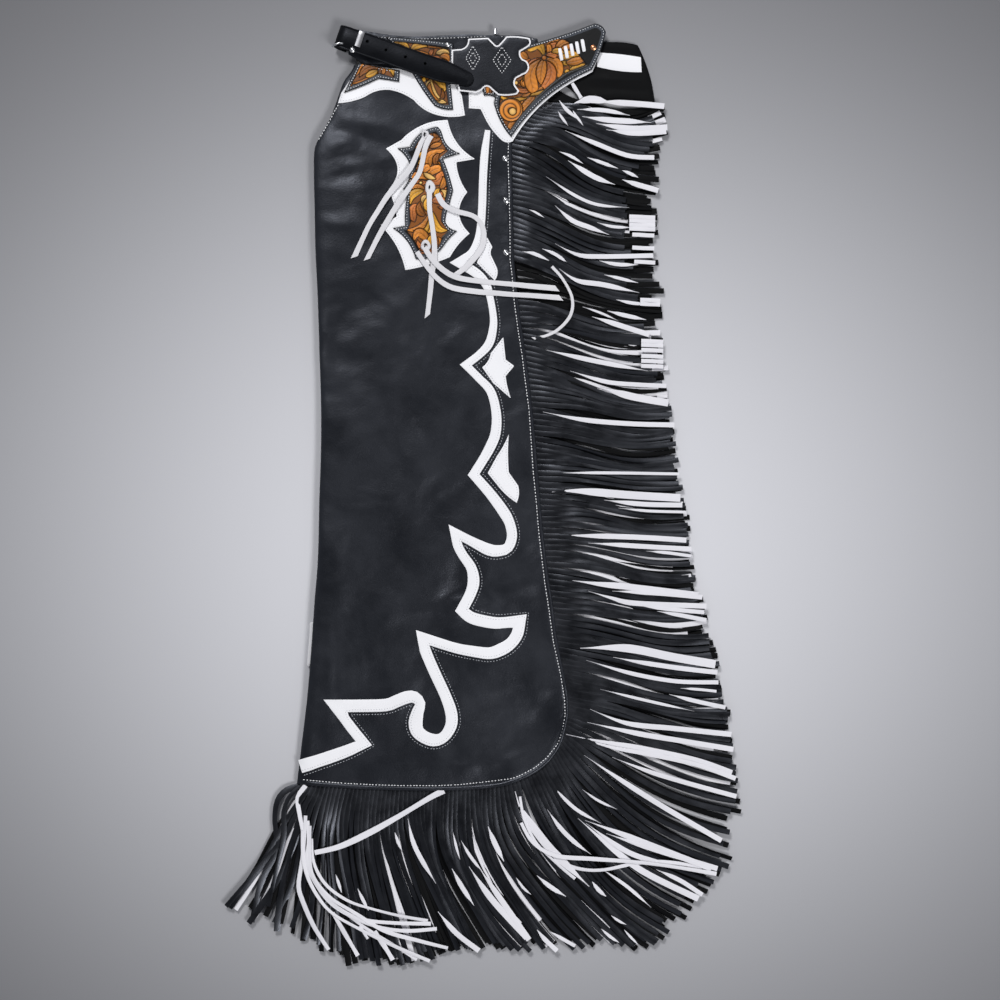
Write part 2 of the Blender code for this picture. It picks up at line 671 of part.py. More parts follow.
def make_folded_layers(material):
    """The hidden half of the top leg and the whole other leg, with a groove between their folds."""
    levels = [CORE_TOP, 567] + LEG_LEVELS[:-1] + [level for level, across in CORE_CORNER]
    inset = PANEL_WALL + CORE_GAP
    rings = []
    for level in levels:
        left = max(edge_at(LEFT_EDGE, level), BELT_LEFT) if level > 530 else edge_at(LEFT_EDGE, level)
        right = edge_at(RIGHT_EDGE, level)
        core_right = 19.0 if level > 442 else right - CORE_INSET
        if level < LEG_SPLIT:
            core_right = dict(CORE_CORNER)[level]
        crown, seat = fold_heights(level)

        def place(run, left=left, level=level):
            return (left + run, level)

        runs = [min(run, core_right - left - 4.0 * (TOP_COLUMNS - k))
                for k, run in enumerate(leg_columns(right - left)[:TOP_COLUMNS], start=1)]
        runs[-1] = core_right - left
        lower = seat - SEAM_GAP
        ring = [(core_right, level, 0.0), (left + 9.0, level, 0.0)]
        for angle in (-50, 0, 50):
            ring.append((left + 9.0 - 7.0 * math.cos(math.radians(angle)), level,
                         lower / 2.0 * (1.0 + math.sin(math.radians(angle)))))
        ring += [(left + 9.0, level, lower), (left + RETURN_RUN + 1.0, level, lower)]
        section = rolled_section(place, flat_top, crown, seat, runs, inset)
        ring.append((left + RETURN_RUN + 1.0, level, seat + inset))
        ring += section[1:]
        rings.append(ring)
    return loft("folded_layers", rings, material)


# fringe

def fan_at(rows, share):
    """Root, middle, tip and reach of the strand at a share of the way along the fan."""
    roots = [row[:2] for row in rows]
    lengths = [math.dist(a, b) for a, b in zip(roots, roots[1:])]
    target = share * sum(lengths)
    for i, length in enumerate(lengths):
        if target <= length or i == len(lengths) - 1:
            part = clamp(target / length)
            before = rows[max(i - 1, 0)]
            after = rows[min(i + 2, len(rows) - 1)]
            bent = spline_point(before, rows[i], rows[i + 1], after, part)
            return blend(rows[i][:2], rows[i + 1][:2], part) + bent[2:]
        target -= length
    return rows[-1]


def strand_line(row, reach):
    """Points along the middle of a strand, on a curve through its middle point."""
    root, middle, tip = row[0:2], row[2:4], row[4:6]
    pull = [2.0 * m - (a + b) / 2.0 for m, a, b in zip(middle, root, tip)]
    line = []
    for k in range(STRAND_SEGMENTS + 1):
        t = reach * k / STRAND_SEGMENTS
        line.append(tuple((1 - t) ** 2 * a + 2 * t * (1 - t) * p + t * t * b
                          for a, p, b in zip(root, pull, tip)) + (t,))
    return line


def hump(t):
    return STRAND_HUMP * math.sin(math.pi * clamp(t))


def make_fringe(name, rows, underside, spacing, top_layer, seed, material):
    """Strands fused by their roots to a narrow strip under the leg's edge."""
    rng = random.Random(seed)
    length = sum(math.dist(a[:2], b[:2]) for a, b in zip(rows, rows[1:]))
    count = int(length / spacing) + 1
    points, faces = [], []

    def add(x, y, z):
        points.append((x, y, z))
        return len(points) - 1

    def pair(x, y, rise=0.0):
        return add(x, y, underside + rise), add(x, y, underside + rise + FRINGE_WALL)

    previous = None
    first = None
    for i in range(count):
        share = i / (count - 1)
        row = fan_at(rows, share)
        ahead, behind = fan_at(rows, min(share + 0.02, 1.0)), fan_at(rows, max(share - 0.02, 0.0))
        along_x, along_y = ahead[0] - behind[0], ahead[1] - behind[1]
        size = math.hypot(along_x, along_y)
        along_x, along_y = along_x / size, along_y / size
        in_x, in_y = along_y, -along_x
        if (row[2] - row[0]) * in_x + (row[3] - row[1]) * in_y > 0:
            in_x, in_y = -in_x, -in_y
        half = STRAND_WIDTH / 2.0
        ends = []
        for sign in (-1, 1):
            x, y = row[0] + along_x * half * sign, row[1] + along_y * half * sign
            outer = pair(x, y)
            inner = pair(x + in_x * STRIP_DEPTH, y + in_y * STRIP_DEPTH)
            ends.append((outer, inner))
        (start_out, start_in), (end_out, end_in) = ends
        if previous:
            last_out, last_in = previous
            faces += [(last_in[0], last_out[0], start_out[0], start_in[0]),
                      (last_in[1], last_out[1], start_out[1], start_in[1]),
                      (last_in[0], last_in[1], start_in[1], start_in[0]),
                      (last_out[0], last_out[1], start_out[1], start_out[0])]
        else:
            first = (start_out, start_in)
        faces += [(start_in[0], start_out[0], end_out[0], end_in[0]),
                  (start_in[1], start_out[1], end_out[1], end_in[1]),
                  (start_in[0], start_in[1], end_in[1], end_in[0])]
        reach = (row[6] if top_layer else 1.0) * rng.uniform(0.97, 1.02)
        line = strand_line(row, reach)
        left, right = start_out, end_out
        for k in range(1, len(line)):
            here = line[k]
            before = line[k - 1]
            after = line[min(k + 1, len(line) - 1)]
            run_x, run_y = after[0] - before[0], after[1] - before[1]
            size = math.hypot(run_x, run_y)
            side_x, side_y = -run_y / size * half, run_x / size * half
            if side_x * along_x + side_y * along_y > 0:
                side_x, side_y = -side_x, -side_y
            rise = hump(here[2])
            next_left = pair(here[0] + side_x, here[1] + side_y, rise)
            next_right = pair(here[0] - side_x, here[1] - side_y, rise)
            faces += [(left[0], right[0], next_right[0], next_left[0]),
                      (left[1], right[1], next_right[1], next_left[1]),
                      (left[0], left[1], next_left[1], next_left[0]),
                      (right[0], right[1], next_right[1], next_right[0])]
            left, right = next_left, next_right
        faces.append((left[0], right[0], right[1], left[1]))
        previous = (end_out, end_in)
    for out, inner in (first, previous):
        faces.append((out[0], out[1], inner[1], inner[0]))
    return mesh_object(name, points, faces, material)


# straps, laces and hardware

def flat_strip(name, points, width, wall, material, point_end=False):
    """A flat strip along points in space, its width level."""
    rings = []
    for i, here in enumerate(points):
        before, after = points[max(i - 1, 0)], points[min(i + 1, len(points) - 1)]
        run = [b - a for a, b in zip(before, after)]
        level = math.hypot(run[0], run[1])
        side = (-run[1] / level, run[0] / level)
        size = math.sqrt(sum(r * r for r in run))
        run = [r / size for r in run]
        up = (-run[2] * side[1], run[2] * side[0], run[0] * side[1] - run[1] * side[0])
        half = width / 2.0
        if point_end and i == len(points) - 1:
            half = width / 6.0
        rings.append([
            (here[0] + side[0] * half, here[1] + side[1] * half, here[2]),
            (here[0] - side[0] * half, here[1] - side[1] * half, here[2]),
            (here[0] - side[0] * half + up[0] * wall, here[1] - side[1] * half + up[1] * wall,
             here[2] + up[2] * wall),
            (here[0] + side[0] * half + up[0] * wall, here[1] + side[1] * half + up[1] * wall,
             here[2] + up[2] * wall),
        ])
    return loft(name, rings, material)


def make_lace(name, rows, width, material):
    points = []
    for x, y, lift in smooth_run(rows, 14.0):
        points.append((x, y, leg_top(x, y) + lift))
    return flat_strip(name, points, width, LACE_WALL, material, point_end=True)


def strap_points():
    """The strap's underside, from its free tip back over the belt's folded end and under it."""
    start = STRAP_LINE[0]
    slope_x = STRAP_LINE[0][0] - STRAP_LINE[1][0]
    slope_y = STRAP_LINE[0][1] - STRAP_LINE[1][1]
    size = math.hypot(slope_x, slope_y)
    out_x, out_y = slope_x / size, slope_y / size
    top = leg_top(*start) + LIFT_STRAP
    bottom = 0.6 + STRAP_WALL
    radius = (top - bottom) / 2.0
    reach = 16.0
    points = []
    for x, y in reversed(smooth_run(STRAP_LINE, 22.0)):
        points.append((x, y, leg_top(x, y) + LIFT_STRAP))
    for angle in (0, 30, 60, 90, 120, 150, 180):
        run = reach + STRAP_TURN_RADIUS * math.sin(math.radians(angle))
        height = (top + bottom) / 2.0 + radius * math.cos(math.radians(angle))
        points.append((start[0] + out_x * run, start[1] + out_y * run, height))
    points.append((start[0] + out_x * 12.0, start[1] + out_y * 12.0, bottom))
    return points


def make_strap(material):
    points = strap_points()
    tip, neck = points[0], points[1]
    size = math.dist(tip[:2], neck[:2])
    ahead = ((tip[0] - neck[0]) / size, (tip[1] - neck[1]) / size)
    points = [(tip[0] + ahead[0] * 8.0, tip[1] + ahead[1] * 8.0, tip[2])] + points
    rings = []
    for i, here in enumerate(points):
        before, after = points[max(i - 1, 0)], points[min(i + 1, len(points) - 1)]
        run = [b - a for a, b in zip(before, after)]
        side = (ahead[1], -ahead[0])
        flat = run[0] * ahead[0] + run[1] * ahead[1]
        size = math.hypot(flat, run[2])
        up_flat, up_z = run[2] / size, -flat / size
        half = STRAP_WIDTH / 2.0 if i else STRAP_WIDTH / 5.0
        ring = []
        for sign, rise in ((1, 0), (-1, 0), (-1, 1), (1, 1)):
            ring.append((here[0] + side[0] * half * sign + ahead[0] * up_flat * STRAP_WALL * rise,
                         here[1] + side[1] * half * sign + ahead[1] * up_flat * STRAP_WALL * rise,
                         here[2] + up_z * STRAP_WALL * rise))
        rings.append(ring)
    return loft("strap", rings, material)


def round_stud(name, x, y, z, radius, height, material):
    bm = bmesh.new()
    bmesh.ops.create_cone(bm, cap_ends=True, segments=12, radius1=radius * MM,
                          radius2=radius * 0.55 * MM, depth=height * MM)
    mesh = bpy.data.meshes.new(name)
    bm.to_mesh(mesh)
    bm.free()
    stud = new_object(name, mesh, material)
    stud.location = (x * MM, y * MM, (z + height / 2.0) * MM)
    return stud


def make_keeper(material):
    """A metal clip that lies on the strap and turns down over its upper edge."""
    ahead, side = STRAP_AHEAD, (-STRAP_AHEAD[1], STRAP_AHEAD[0])
    top = leg_top(*KEEPER_PLACE) + LIFT_STRAP + STRAP_WALL + 0.6
    edge = STRAP_WIDTH / 2.0 + 0.6
    outline = [(-5.0, top), (-5.0, top + KEEPER_WALL), (edge + KEEPER_WALL, top + KEEPER_WALL),
               (edge + KEEPER_WALL, top - 5.0), (edge, top - 5.0), (edge, top)]
    rings = []
    for run in (-3.5, 3.5):
        rings.append([(KEEPER_PLACE[0] + ahead[0] * run + side[0] * across,
                       KEEPER_PLACE[1] + ahead[1] * run + side[1] * across, z)
                      for across, z in outline])
    return loft("strap_keeper", rings, material)


def make_buckle(material):
    """The edge of the buckle's frame, which shows at the strap's fold."""
    bm = bmesh.new()
    bmesh.ops.create_cone(bm, cap_ends=True, segments=10, radius1=1.4 * MM, radius2=1.4 * MM,
                          depth=13.0 * MM)
    mesh = bpy.data.meshes.new("strap_buckle")
    bm.to_mesh(mesh)
    bm.free()
    bar = new_object("strap_buckle", mesh, material)
    height = leg_top(*STRAP_LINE[0]) + LIFT_STRAP + STRAP_WALL + SEAM_GAP + 1.4
    bar.rotation_euler = (0.0, math.radians(90), math.radians(20))
    bar.location = (-184 * MM, 573 * MM, height * MM)
    return bar


def make_belt_pin(material):
    """A small post that stands out of the belt's upper edge."""
    bm = bmesh.new()
    bmesh.ops.create_cone(bm, cap_ends=True, segments=12, radius1=3.2 * MM, radius2=2.4 * MM,
                          depth=9.0 * MM)
    mesh = bpy.data.meshes.new("belt_pin")
    bm.to_mesh(mesh)
    bm.free()
    pin = new_object("belt_pin", mesh, material)
    pin.rotation_euler = (math.radians(-90), 0.0, 0.0)
    pin.location = (16 * MM, (587.9 + 4.5) * MM, (flat_top(16, 588) - 1.2) * MM)
    return pin


def build():
    black = make_material("black_leather", "black", 0.42)
    core = make_material("inner_leather", "core", 0.7)
    white = make_material("white_leather", "white", 0.5)
    pale = make_material("lace_leather", "lace", 0.5)
    carved = make_material("carved_leather", "carved", 0.45)
    border = make_material("stitched_border", "border", 0.5)
    steel = make_material("steel", "steel", 0.3, 1.0)
    leathers = {"black": black, "white": white}

    make_upper_leg(black)
    make_folded_layers(core)

    # appliques on the leg
    ribbon("white_band", SCROLL_BAND, LIFT_FIRST, APPLIQUE_WALL, white)
    for name, rows in (("scroll_leaf_upper", SCROLL_LEAF_UPPER), ("scroll_star", SCROLL_STAR),
                       ("scroll_leaf_lower", SCROLL_LEAF_LOWER)):
        draped_patch(name, outline_points(rows), LIFT_FIRST, APPLIQUE_WALL, white)
    for name, rows, lift, material in (
            ("thigh_patch_white", THIGH_WHITE, LIFT_FIRST, white),
            ("thigh_patch_border", THIGH_BORDER, LIFT_SECOND, border),
            ("thigh_patch_carved", THIGH_CARVED, LIFT_THIRD, carved),
            ("yoke_left_white", YOKE_LEFT_WHITE, LIFT_FIRST, white),
            ("yoke_lobe_a_border", LOBE_A_BORDER, LIFT_SECOND, border),
            ("yoke_lobe_a_carved", LOBE_A_CARVED, LIFT_THIRD, carved),
            ("yoke_lobe_b_border", LOBE_B_BORDER, LIFT_SECOND, border),
            ("yoke_lobe_b_carved", LOBE_B_CARVED, LIFT_THIRD, carved),
            ("belt_carved_strip", BELT_CARVED, LIFT_FIRST, carved),
            ("yoke_right_white", WING_WHITE, LIFT_FIRST, white),
            ("yoke_right_border", WING_BORDER, LIFT_SECOND, border),
            ("yoke_right_carved", WING_CARVED, LIFT_THIRD, carved)):
        draped_patch(name, outline_points(rows), lift, APPLIQUE_WALL, material)

    # belt and front patch
    draped_patch("belt_band", outline_points(BELT_BAND), -PANEL_WALL, PANEL_WALL, black,
                 surface=flat_top)
    patch = outline_points(CENTRE_PATCH)
    draped_patch("centre_piping", grown(patch, 2.4), LIFT_FOURTH, APPLIQUE_WALL, white)
    draped_patch("centre_patch", patch, LIFT_FIFTH, APPLIQUE_WALL, black)

    # the other leg's yoke
    def lower_surface(x, y):
        return 0.0

    draped_patch("lower_yoke", outline_points(LOWER_YOKE), 0.0, 5.6, black, cell=200.0,
                 surface=lower_surface)
    draped_patch("lower_yoke_band", outline_points(LOWER_YOKE_BAND), 5.6 + SEAM_GAP,
                 APPLIQUE_WALL, white, cell=200.0, surface=lower_surface)

    # strap and hardware
    make_strap(black)
    make_keeper(steel)
    make_buckle(steel)
    make_belt_pin(steel)
    strap_top = leg_top(*STRAP_LINE[0]) + LIFT_STRAP + STRAP_WALL
    round_stud("strap_rivet", -165, 567.5, strap_top + 0.4, 3.4, 2.4, steel)
    round_stud("wing_rivet", 141, 572, leg_top(141, 572) + LIFT_THIRD, 3.6, 2.4, steel)
    for number, (x, y) in enumerate(((28, 430), (29, 376), (29, 310)), start=1):
        round_stud("snap_%d" % number, x, y, leg_top(x, y) + LIFT_FIRST, 3.8, 2.6, steel)

    # laces
    for name, rows in LACES.items():
        make_lace(name, rows, LACE_WIDTH, pale)
    make_lace("lace_curl", CURL_LACE, CURL_LACE_WIDTH, pale)

    # fringe
    seed = 11
    for layer, underside, spacing, colour in FRINGE_LAYERS:
        for place, rows in FRINGE_FANS.items():
            seed += 1
            make_fringe("%s_%s" % (layer, place), rows, underside, spacing, layer == "fringe_top",
                        seed, leathers[colour])


clear_scene()
PARTS = bpy.data.collections.new("leather_chaps")
bpy.context.scene.collection.children.link(PARTS)
build()
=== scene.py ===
"""Leather chaps, folded in half and laid flat: the finished look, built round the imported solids.

Lengths are in millimetres until a mesh is made, in the frame of the solids: X across the leg,
Y up the leg towards the belt, Z up from the surface that the chaps lie on.
"""
import math
import random

import bmesh
import bpy
import numpy as np
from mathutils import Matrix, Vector


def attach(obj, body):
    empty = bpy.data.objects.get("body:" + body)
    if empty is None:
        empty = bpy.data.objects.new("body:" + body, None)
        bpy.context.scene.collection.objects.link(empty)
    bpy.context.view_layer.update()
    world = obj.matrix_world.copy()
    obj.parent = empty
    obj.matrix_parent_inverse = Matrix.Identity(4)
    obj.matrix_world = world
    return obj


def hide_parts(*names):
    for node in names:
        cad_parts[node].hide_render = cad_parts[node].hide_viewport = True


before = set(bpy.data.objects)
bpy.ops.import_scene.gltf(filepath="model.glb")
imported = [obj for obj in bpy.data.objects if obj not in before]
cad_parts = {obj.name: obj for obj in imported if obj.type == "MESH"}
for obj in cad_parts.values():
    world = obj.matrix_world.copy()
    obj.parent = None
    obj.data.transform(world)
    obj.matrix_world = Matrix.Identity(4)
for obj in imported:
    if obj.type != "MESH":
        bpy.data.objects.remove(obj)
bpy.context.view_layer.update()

MM = 0.001

# scale of the photograph, and the pixel that the frame's origin falls on
PIXEL = 1.28
ORIGIN_PX = (483.0, 495.0)

# leather thicknesses
PANEL_WALL = 2.0
APPLIQUE_WALL = 1.2
STRAP_WALL = 2.8
LACE_WALL = 1.1

# heights above the surface
EDGE_TOP = 9.2
ROLL_RUN = 14.0
SEAT_RUN = 8.0
RETURN_RUN = 12.0

# how far each applied layer stands off the leg panel
LIFT_FIRST = 0.3
LIFT_SECOND = 1.8
LIFT_THIRD = 3.3
LIFT_FOURTH = 4.8
LIFT_FIFTH = 6.3
LIFT_STRAP = 7.8

LEG_TOP = 549.0
LEG_SPLIT = -262.0
SEAM_INSET = 5.1

# folded edge of the leg, and its seam edge: height up the leg, place across
LEFT_EDGE = [
    (602, -200), (562, -195), (556, -165), (526, -179), (500, -188), (480, -196), (457, -209),
    (442, -215), (416, -216), (365, -215), (314, -214), (250, -211), (186, -209), (122, -207),
    (58, -207), (-6, -209), (-83, -211), (-134, -215), (-218, -221), (-282, -227), (-339, -234),
    (-369, -238),
]
RIGHT_EDGE = [
    (602, 34), (557, 35), (452, 37), (390, 38), (339, 39), (301, 40), (250, 45), (211, 50),
    (147, 59), (70, 67), (-6, 73), (-83, 81), (-147, 90), (-186, 95), (-230, 104), (-262, 109),
    (-282, 109), (-301, 105), (-320, 99), (-339, 86), (-355, 67), (-369, 37),
]

# lower edge of the leg, from the fold to the round corner
HEM_EDGE = [
    (-238, -369), (-209, -372), (-170, -375), (-132, -377), (-55, -378), (6, -375), (37, -369),
    (67, -355), (86, -339), (99, -320), (105, -301), (109, -282), (109, -262),
]

# height of the fold's crown and of its seat on the layers below: up the leg, crown, seat
FOLD_HEIGHTS = [
    (602, 12.0, 5.4), (556, 12.5, 5.4), (480, 15.0, 6.5), (400, 17.0, 7.5), (-200, 17.0, 7.5),
    (-300, 13.5, 5.5), (-369, 10.8, 4.2),
]

# folds of the leather: centre across, centre up, half length, half width, height, turn
LEG_FOLDS = [
    (-165, 455, 60, 16, 1.6, 24),
    (-170, 412, 50, 15, 1.4, 12),
    (-176, 368, 42, 17, 1.6, -6),
    (-172, 322, 46, 15, 1.3, -12),
    (-185, 270, 38, 18, 1.2, 6),
    (-196, -235, 16, 80, 1.0, 0),
    (-120, 60, 70, 26, 0.7, 70),
    (-60, -330, 90, 12, 0.6, 2),
]
CREASES = [
    (-10, 432, 7, 16, 0.7, 25), (8, 418, 6, 14, -0.6, 40), (10, -128, 22, 5, 0.8, -42),
    (22, -146, 16, 4, -0.6, -38), (-44, -128, 20, 5, 0.7, -24), (-60, -140, 22, 6, -0.5, -20),
    (-150, -340, 34, 5, 0.5, 4), (-95, -348, 30, 5, 0.5, -3), (-30, -346, 36, 5, 0.5, 3),
    (30, -338, 26, 5, 0.5, 14), (-120, -352, 40, 4, -0.4, 0), (-190, 395, 34, 6, 0.7, 18),
    (-150, 386, 40, 7, -0.7, 8), (-178, 345, 34, 6, 0.6, -10), (-190, 430, 28, 6, -0.6, 26),
    (-130, 420, 34, 10, 0.7, 30), (-192, 300, 26, 6, -0.5, -8), (-196, -200, 5, 70, 0.6, 2),
    (-188, -250, 4, 60, -0.5, 3), (-80, 190, 60, 14, 0.5, 62), (-140, -60, 60, 16, 0.5, 78),
    (-100, -190, 70, 14, 0.5, 12), (20, -230, 50, 10, 0.5, -30), (60, -120, 10, 40, 0.4, 0),
    (-40, 0, 50, 16, -0.5, 50), (-150, 180, 50, 18, 0.6, 40), (-170, 500, 20, 6, 0.5, 30),
    (-148, 474, 46, 9, 1.5, -14), (-166, 461, 40, 8, -1.5, -12), (-158, 441, 52, 10, 1.5, -20),
    (-134, 416, 30, 8, -1.7, 8), (-176, 424, 30, 8, 0.9, -8), (-180, 404, 36, 9, -1.1, 4),
    (-168, 388, 44, 9, 1.2, 6), (-165, 366, 44, 9, -1.1, -2), (-172, 345, 44, 10, 1.1, -6),
    (-177, 320, 40, 10, -0.9, -8), (-177, 173, 30, 13, -1.3, 0), (-172, 200, 34, 12, 0.8, 6),
    (-165, 140, 36, 14, 0.8, -6), (-8, 430, 6, 22, -0.8, 12), (-120, -20, 70, 18, 0.7, 66),
    (-70, 240, 60, 14, -0.7, 40), (-110, 230, 50, 16, 0.6, 34), (-30, 120, 30, 12, 0.7, 60),
    (-130, -120, 70, 16, -0.7, 30), (-60, -230, 60, 14, 0.7, 16), (-185, -120, 14, 90, 0.8, 4),
    (-20, -352, 150, 20, 2.7, 2), (-26, -134, 16, 5, 1.3, 38), (-44, -128, 15, 5, -1.4, 20),
    (-96, 455, 44, 10, 1.3, -38), (-150, 250, 46, 15, -1.0, 12), (-80, 20, 44, 18, 0.9, 70),
    (-150, -30, 40, 22, 1.0, 20), (-120, -260, 60, 16, 0.8, -8), (50, -60, 12, 26, 0.9, 4), (66, -210, 12, 30, 0.9, 8),
]

# scroll band, a row for each bend or point: across, up, width, True at a sharp point
SCROLL_BAND = [
    (6, 466, 7, False), (2, 435, 10, False), (0, 403, 10, False), (-1, 371, 10, False),
    (-3, 342, 10, False), (-7, 324, 10, False), (-15, 308, 11, False), (-31, 297, 12, True),
    (-8, 283, 12, False), (4, 269, 11, False), (9, 253, 9, False), (13, 230, 9, False),
    (13, 214, 10, False), (8, 194, 11, False), (-4, 180, 10, False), (-22, 166, 10, True),
    (-6, 150, 10, False), (10, 132, 11, False), (17, 104, 12, False), (16, 79, 13, False),
    (9, 61, 13, False), (0, 45, 12, False), (-12, 26, 12, True), (9, 2, 13, False),
    (26, -21, 14, False), (34, -36, 13, False), (37, -53, 13, False), (32, -67, 13, False),
    (22, -71, 14, False), (8, -70, 15, False), (-15, -59, 12, False), (-36, -48, 11, True),
    (-32, -65, 12, False), (-25, -78, 12, False), (-15, -93, 13, False), (-12, -110, 15, False),
    (-16, -126, 14, False), (-27, -147, 14, True), (-14, -157, 15, False), (12, -163, 15, False),
    (28, -163, 14, False), (47, -161, 15, True), (44, -177, 15, False), (36, -189, 15, False),
    (24, -197, 16, False), (9, -202, 15, False), (-10, -200, 14, False), (-36, -195, 13, False),
    (-77, -182, 13, True), (-74, -197, 14, False), (-68, -212, 14, False), (-60, -230, 14, False),
    (-48, -256, 14, False), (-41, -276, 15, False), (-40, -291, 15, False), (-45, -303, 14, False),
    (-53, -311, 14, False), (-63, -313, 16, False), (-75, -309, 16, False), (-84, -301, 17, False),
    (-86, -290, 18, False), (-83, -276, 15, False), (-80, -266, 13, False), (-87, -258, 15, False),
    (-97, -258, 16, False), (-110, -263, 16, False), (-124, -268, 16, False), (-157, -269, 16, False),
    (-188, -269, 16, True), (-179, -282, 13, False), (-168, -297, 13, False), (-152, -317, 13, True),
    (-172, -326, 15, False), (-194, -334, 16, False), (-212, -340, 16, False), (-221, -343, 17, False),
    (-229, -345.5, 17, False), (-233.5, -347, 17, False),
]

# cut outlines: across, up, and how far the stretch to the next point bows out
SCROLL_LEAF_UPPER = [
    (5, 330, 0), (12, 317, -1), (10, 307, 0), (18, 290, 2), (15, 274, 0), (-8, 297, 0), (0, 314, 0),
]
SCROLL_STAR = [
    (26, 202, 0), (29, 173, 0), (40, 165, 0), (29, 152, -1), (36, 123, 0), (13, 143, 0),
    (-1, 163, -2), (10, 181, 0),
]
SCROLL_LEAF_LOWER = [
    (33, 78, -1), (33, 29, 0), (45, 12, 2), (43, -10, 1), (22, 8, 0), (6, 28, 0), (18, 50, -1),
]
THIGH_WHITE = [
    (-45, 479, 7), (-104, 453, 0), (-124, 442, -13), (-120, 390, -1), (-110, 355, 0), (-131, 344, -5),
    (-99, 287, 2), (-42, 304, -2), (-17, 334, -12), (-20, 387, -3), (-34, 425, 0), (-10, 429, -7),
]
THIGH_BORDER = [
    (-58, 470, 6), (-93, 444, 0), (-109, 442, -13), (-102, 390, 0), (-95, 387, 2), (-99, 343, 0),
    (-115, 340, -5), (-86, 301, 0), (-77, 300, 3), (-50, 318, -1), (-33, 337, -3), (-48, 349, -1),
    (-44, 366, 0), (-38, 389, 1), (-51, 429, 0), (-29, 436, -5), (-52, 461, 1),
]
THIGH_CARVED = [
    (-64, 462, 4), (-86, 443, 0), (-81, 431, -2), (-94, 402, 0), (-93, 390, 1), (-92, 348, 0),
    (-97, 336, -2), (-79, 307, 1), (-60, 311, 1), (-52, 329, 0), (-44, 337, 0), (-53, 349, -1),
    (-50, 368, 0), (-46, 389, 1), (-51, 412, 0), (-56, 428, 0), (-45, 439, -1), (-54, 456, 1),
]
YOKE_LEFT_WHITE = [
    (-181, 513, 0), (-157, 548, 0), (-106, 544, 0), (-34, 526, 0), (-27, 510, 0), (-23, 485, 3),
    (-64, 487, 2), (-88, 504, -2), (-119, 517, -3), (-150, 508, 2), (-185, 500, 0),
]
LOBE_A_BORDER = [
    (-159, 551, 0), (-177, 513, 1), (-133, 531, 0), (-107, 527, 0), (-106, 541, 0),
]
LOBE_A_CARVED = [
    (-154, 552, 0), (-169, 521, 1), (-132, 538, 0), (-114, 532, 0), (-112, 544, 0),
]
LOBE_B_BORDER = [
    (-92, 541, 0), (-88, 535, 1), (-62, 497, 2), (-38, 492, 0), (-42, 531, 0),
]
LOBE_B_CARVED = [
    (-82, 538, 0), (-78, 530, 0), (-60, 503, 2), (-44, 498, 0), (-49, 532, 0),
]
TAB_BORDER = [(-1, 526, 0), (16, 526, 0), (15, 508, -1), (1, 510, 0)]
TAB_CARVED = [(2, 524, 0), (13, 524, 0), (12, 511, -1), (4, 512, 0)]
BELT_BORDER = [
    (-124, 585, 1), (-38, 577, 0), (-38, 551, 0), (-59, 551, 0), (-110, 569, 0),
]
BELT_CARVED = [
    (-116, 579, 1), (-43, 569, 0), (-42, 551, 0), (-59, 553, 0), (-105, 568, 0),
]
WING_WHITE = [
    (48, 573, -2), (138, 597, 0), (150, 592, 0), (150, 566, 0), (140, 541, 0), (131, 536, -10),
    (38, 452, 3), (22, 455, 2), (0, 487, 0), (-3, 493, 0), (-18, 494, 0), (-18, 517, 0),
    (22, 540, 0),
]
WING_BORDER = [
    (46, 572, -2), (142, 602, 3), (157, 591, 2), (139, 543, -10), (36, 457, 3), (14, 500, 0),
    (22, 540, 0),
]
WING_CARVED = [
    (48, 565, 1), (96, 582, 2), (112, 575, 0), (132, 549, 0), (106, 539, -5), (35, 466, 3),
    (20, 492, 0), (28, 540, 0),
]
CENTRE_PATCH = [
    (-38, 550, 0), (-38, 566, 0), (-27, 567, -3), (-17, 580, 0), (6, 581, 0), (12, 575, -4),
    (24, 575, 0), (31, 583, 1), (58, 581, 2), (56, 573, 0), (46, 567, -2), (50, 554, 2),
    (57, 546, 2), (50, 538, 0), (41, 533, -3), (42, 518, 2), (42, 513, 1), (20, 512, 0),
    (13, 518, -5), (-3, 518, 0), (-9, 515, 0), (-29, 517, 0),
]
LOWER_YOKE = [
    (19.4, 580, 0), (169, 580, 1), (198, 576, 4), (220, 500, 1), (175, 506, 0), (130, 506, 0),
    (106, 524, 0), (90, 528, 0), (19.4, 528, 0),
]
LOWER_YOKE_BAND = [
    (146, 566, 1), (202, 560, 0), (203, 541, 2), (146, 548, 0),
]
BELT_BAND = [
    (-168, 596, 0), (-130, 589, -1), (-81, 586, 0), (-16, 589, -1), (48, 588, 0), (70, 583, 0),
    (70, 552, 0), (-150, 550, 0), (-172, 563, 0),
]

LOWER_FOLDS = [
    (178, 531, 34, 6, 2.6, -3), (180, 519, 34, 4, -0.9, -3), (160, 512, 30, 7, 0.8, 4), (175, 573, 30, 3, 0.5, -3),
]

# waist strap: along its middle, across, up
STRAP_LINE = [(-160, 577), (-125, 565), (-92, 553), (-52, 540), (-20, 530)]
STRAP_WIDTH = 29.0
STRAP_TAPER = 44.0
STRAP_TURN_RADIUS = 9.0
STRAP_AHEAD = (0.946, -0.324)
STRAP_HOLES_PX = [(368, 44), (386.5, 52.5), (406, 59.5), (425.5, 66), (349.5, 35)]
KEEPER_PLACE = (-158, 576)

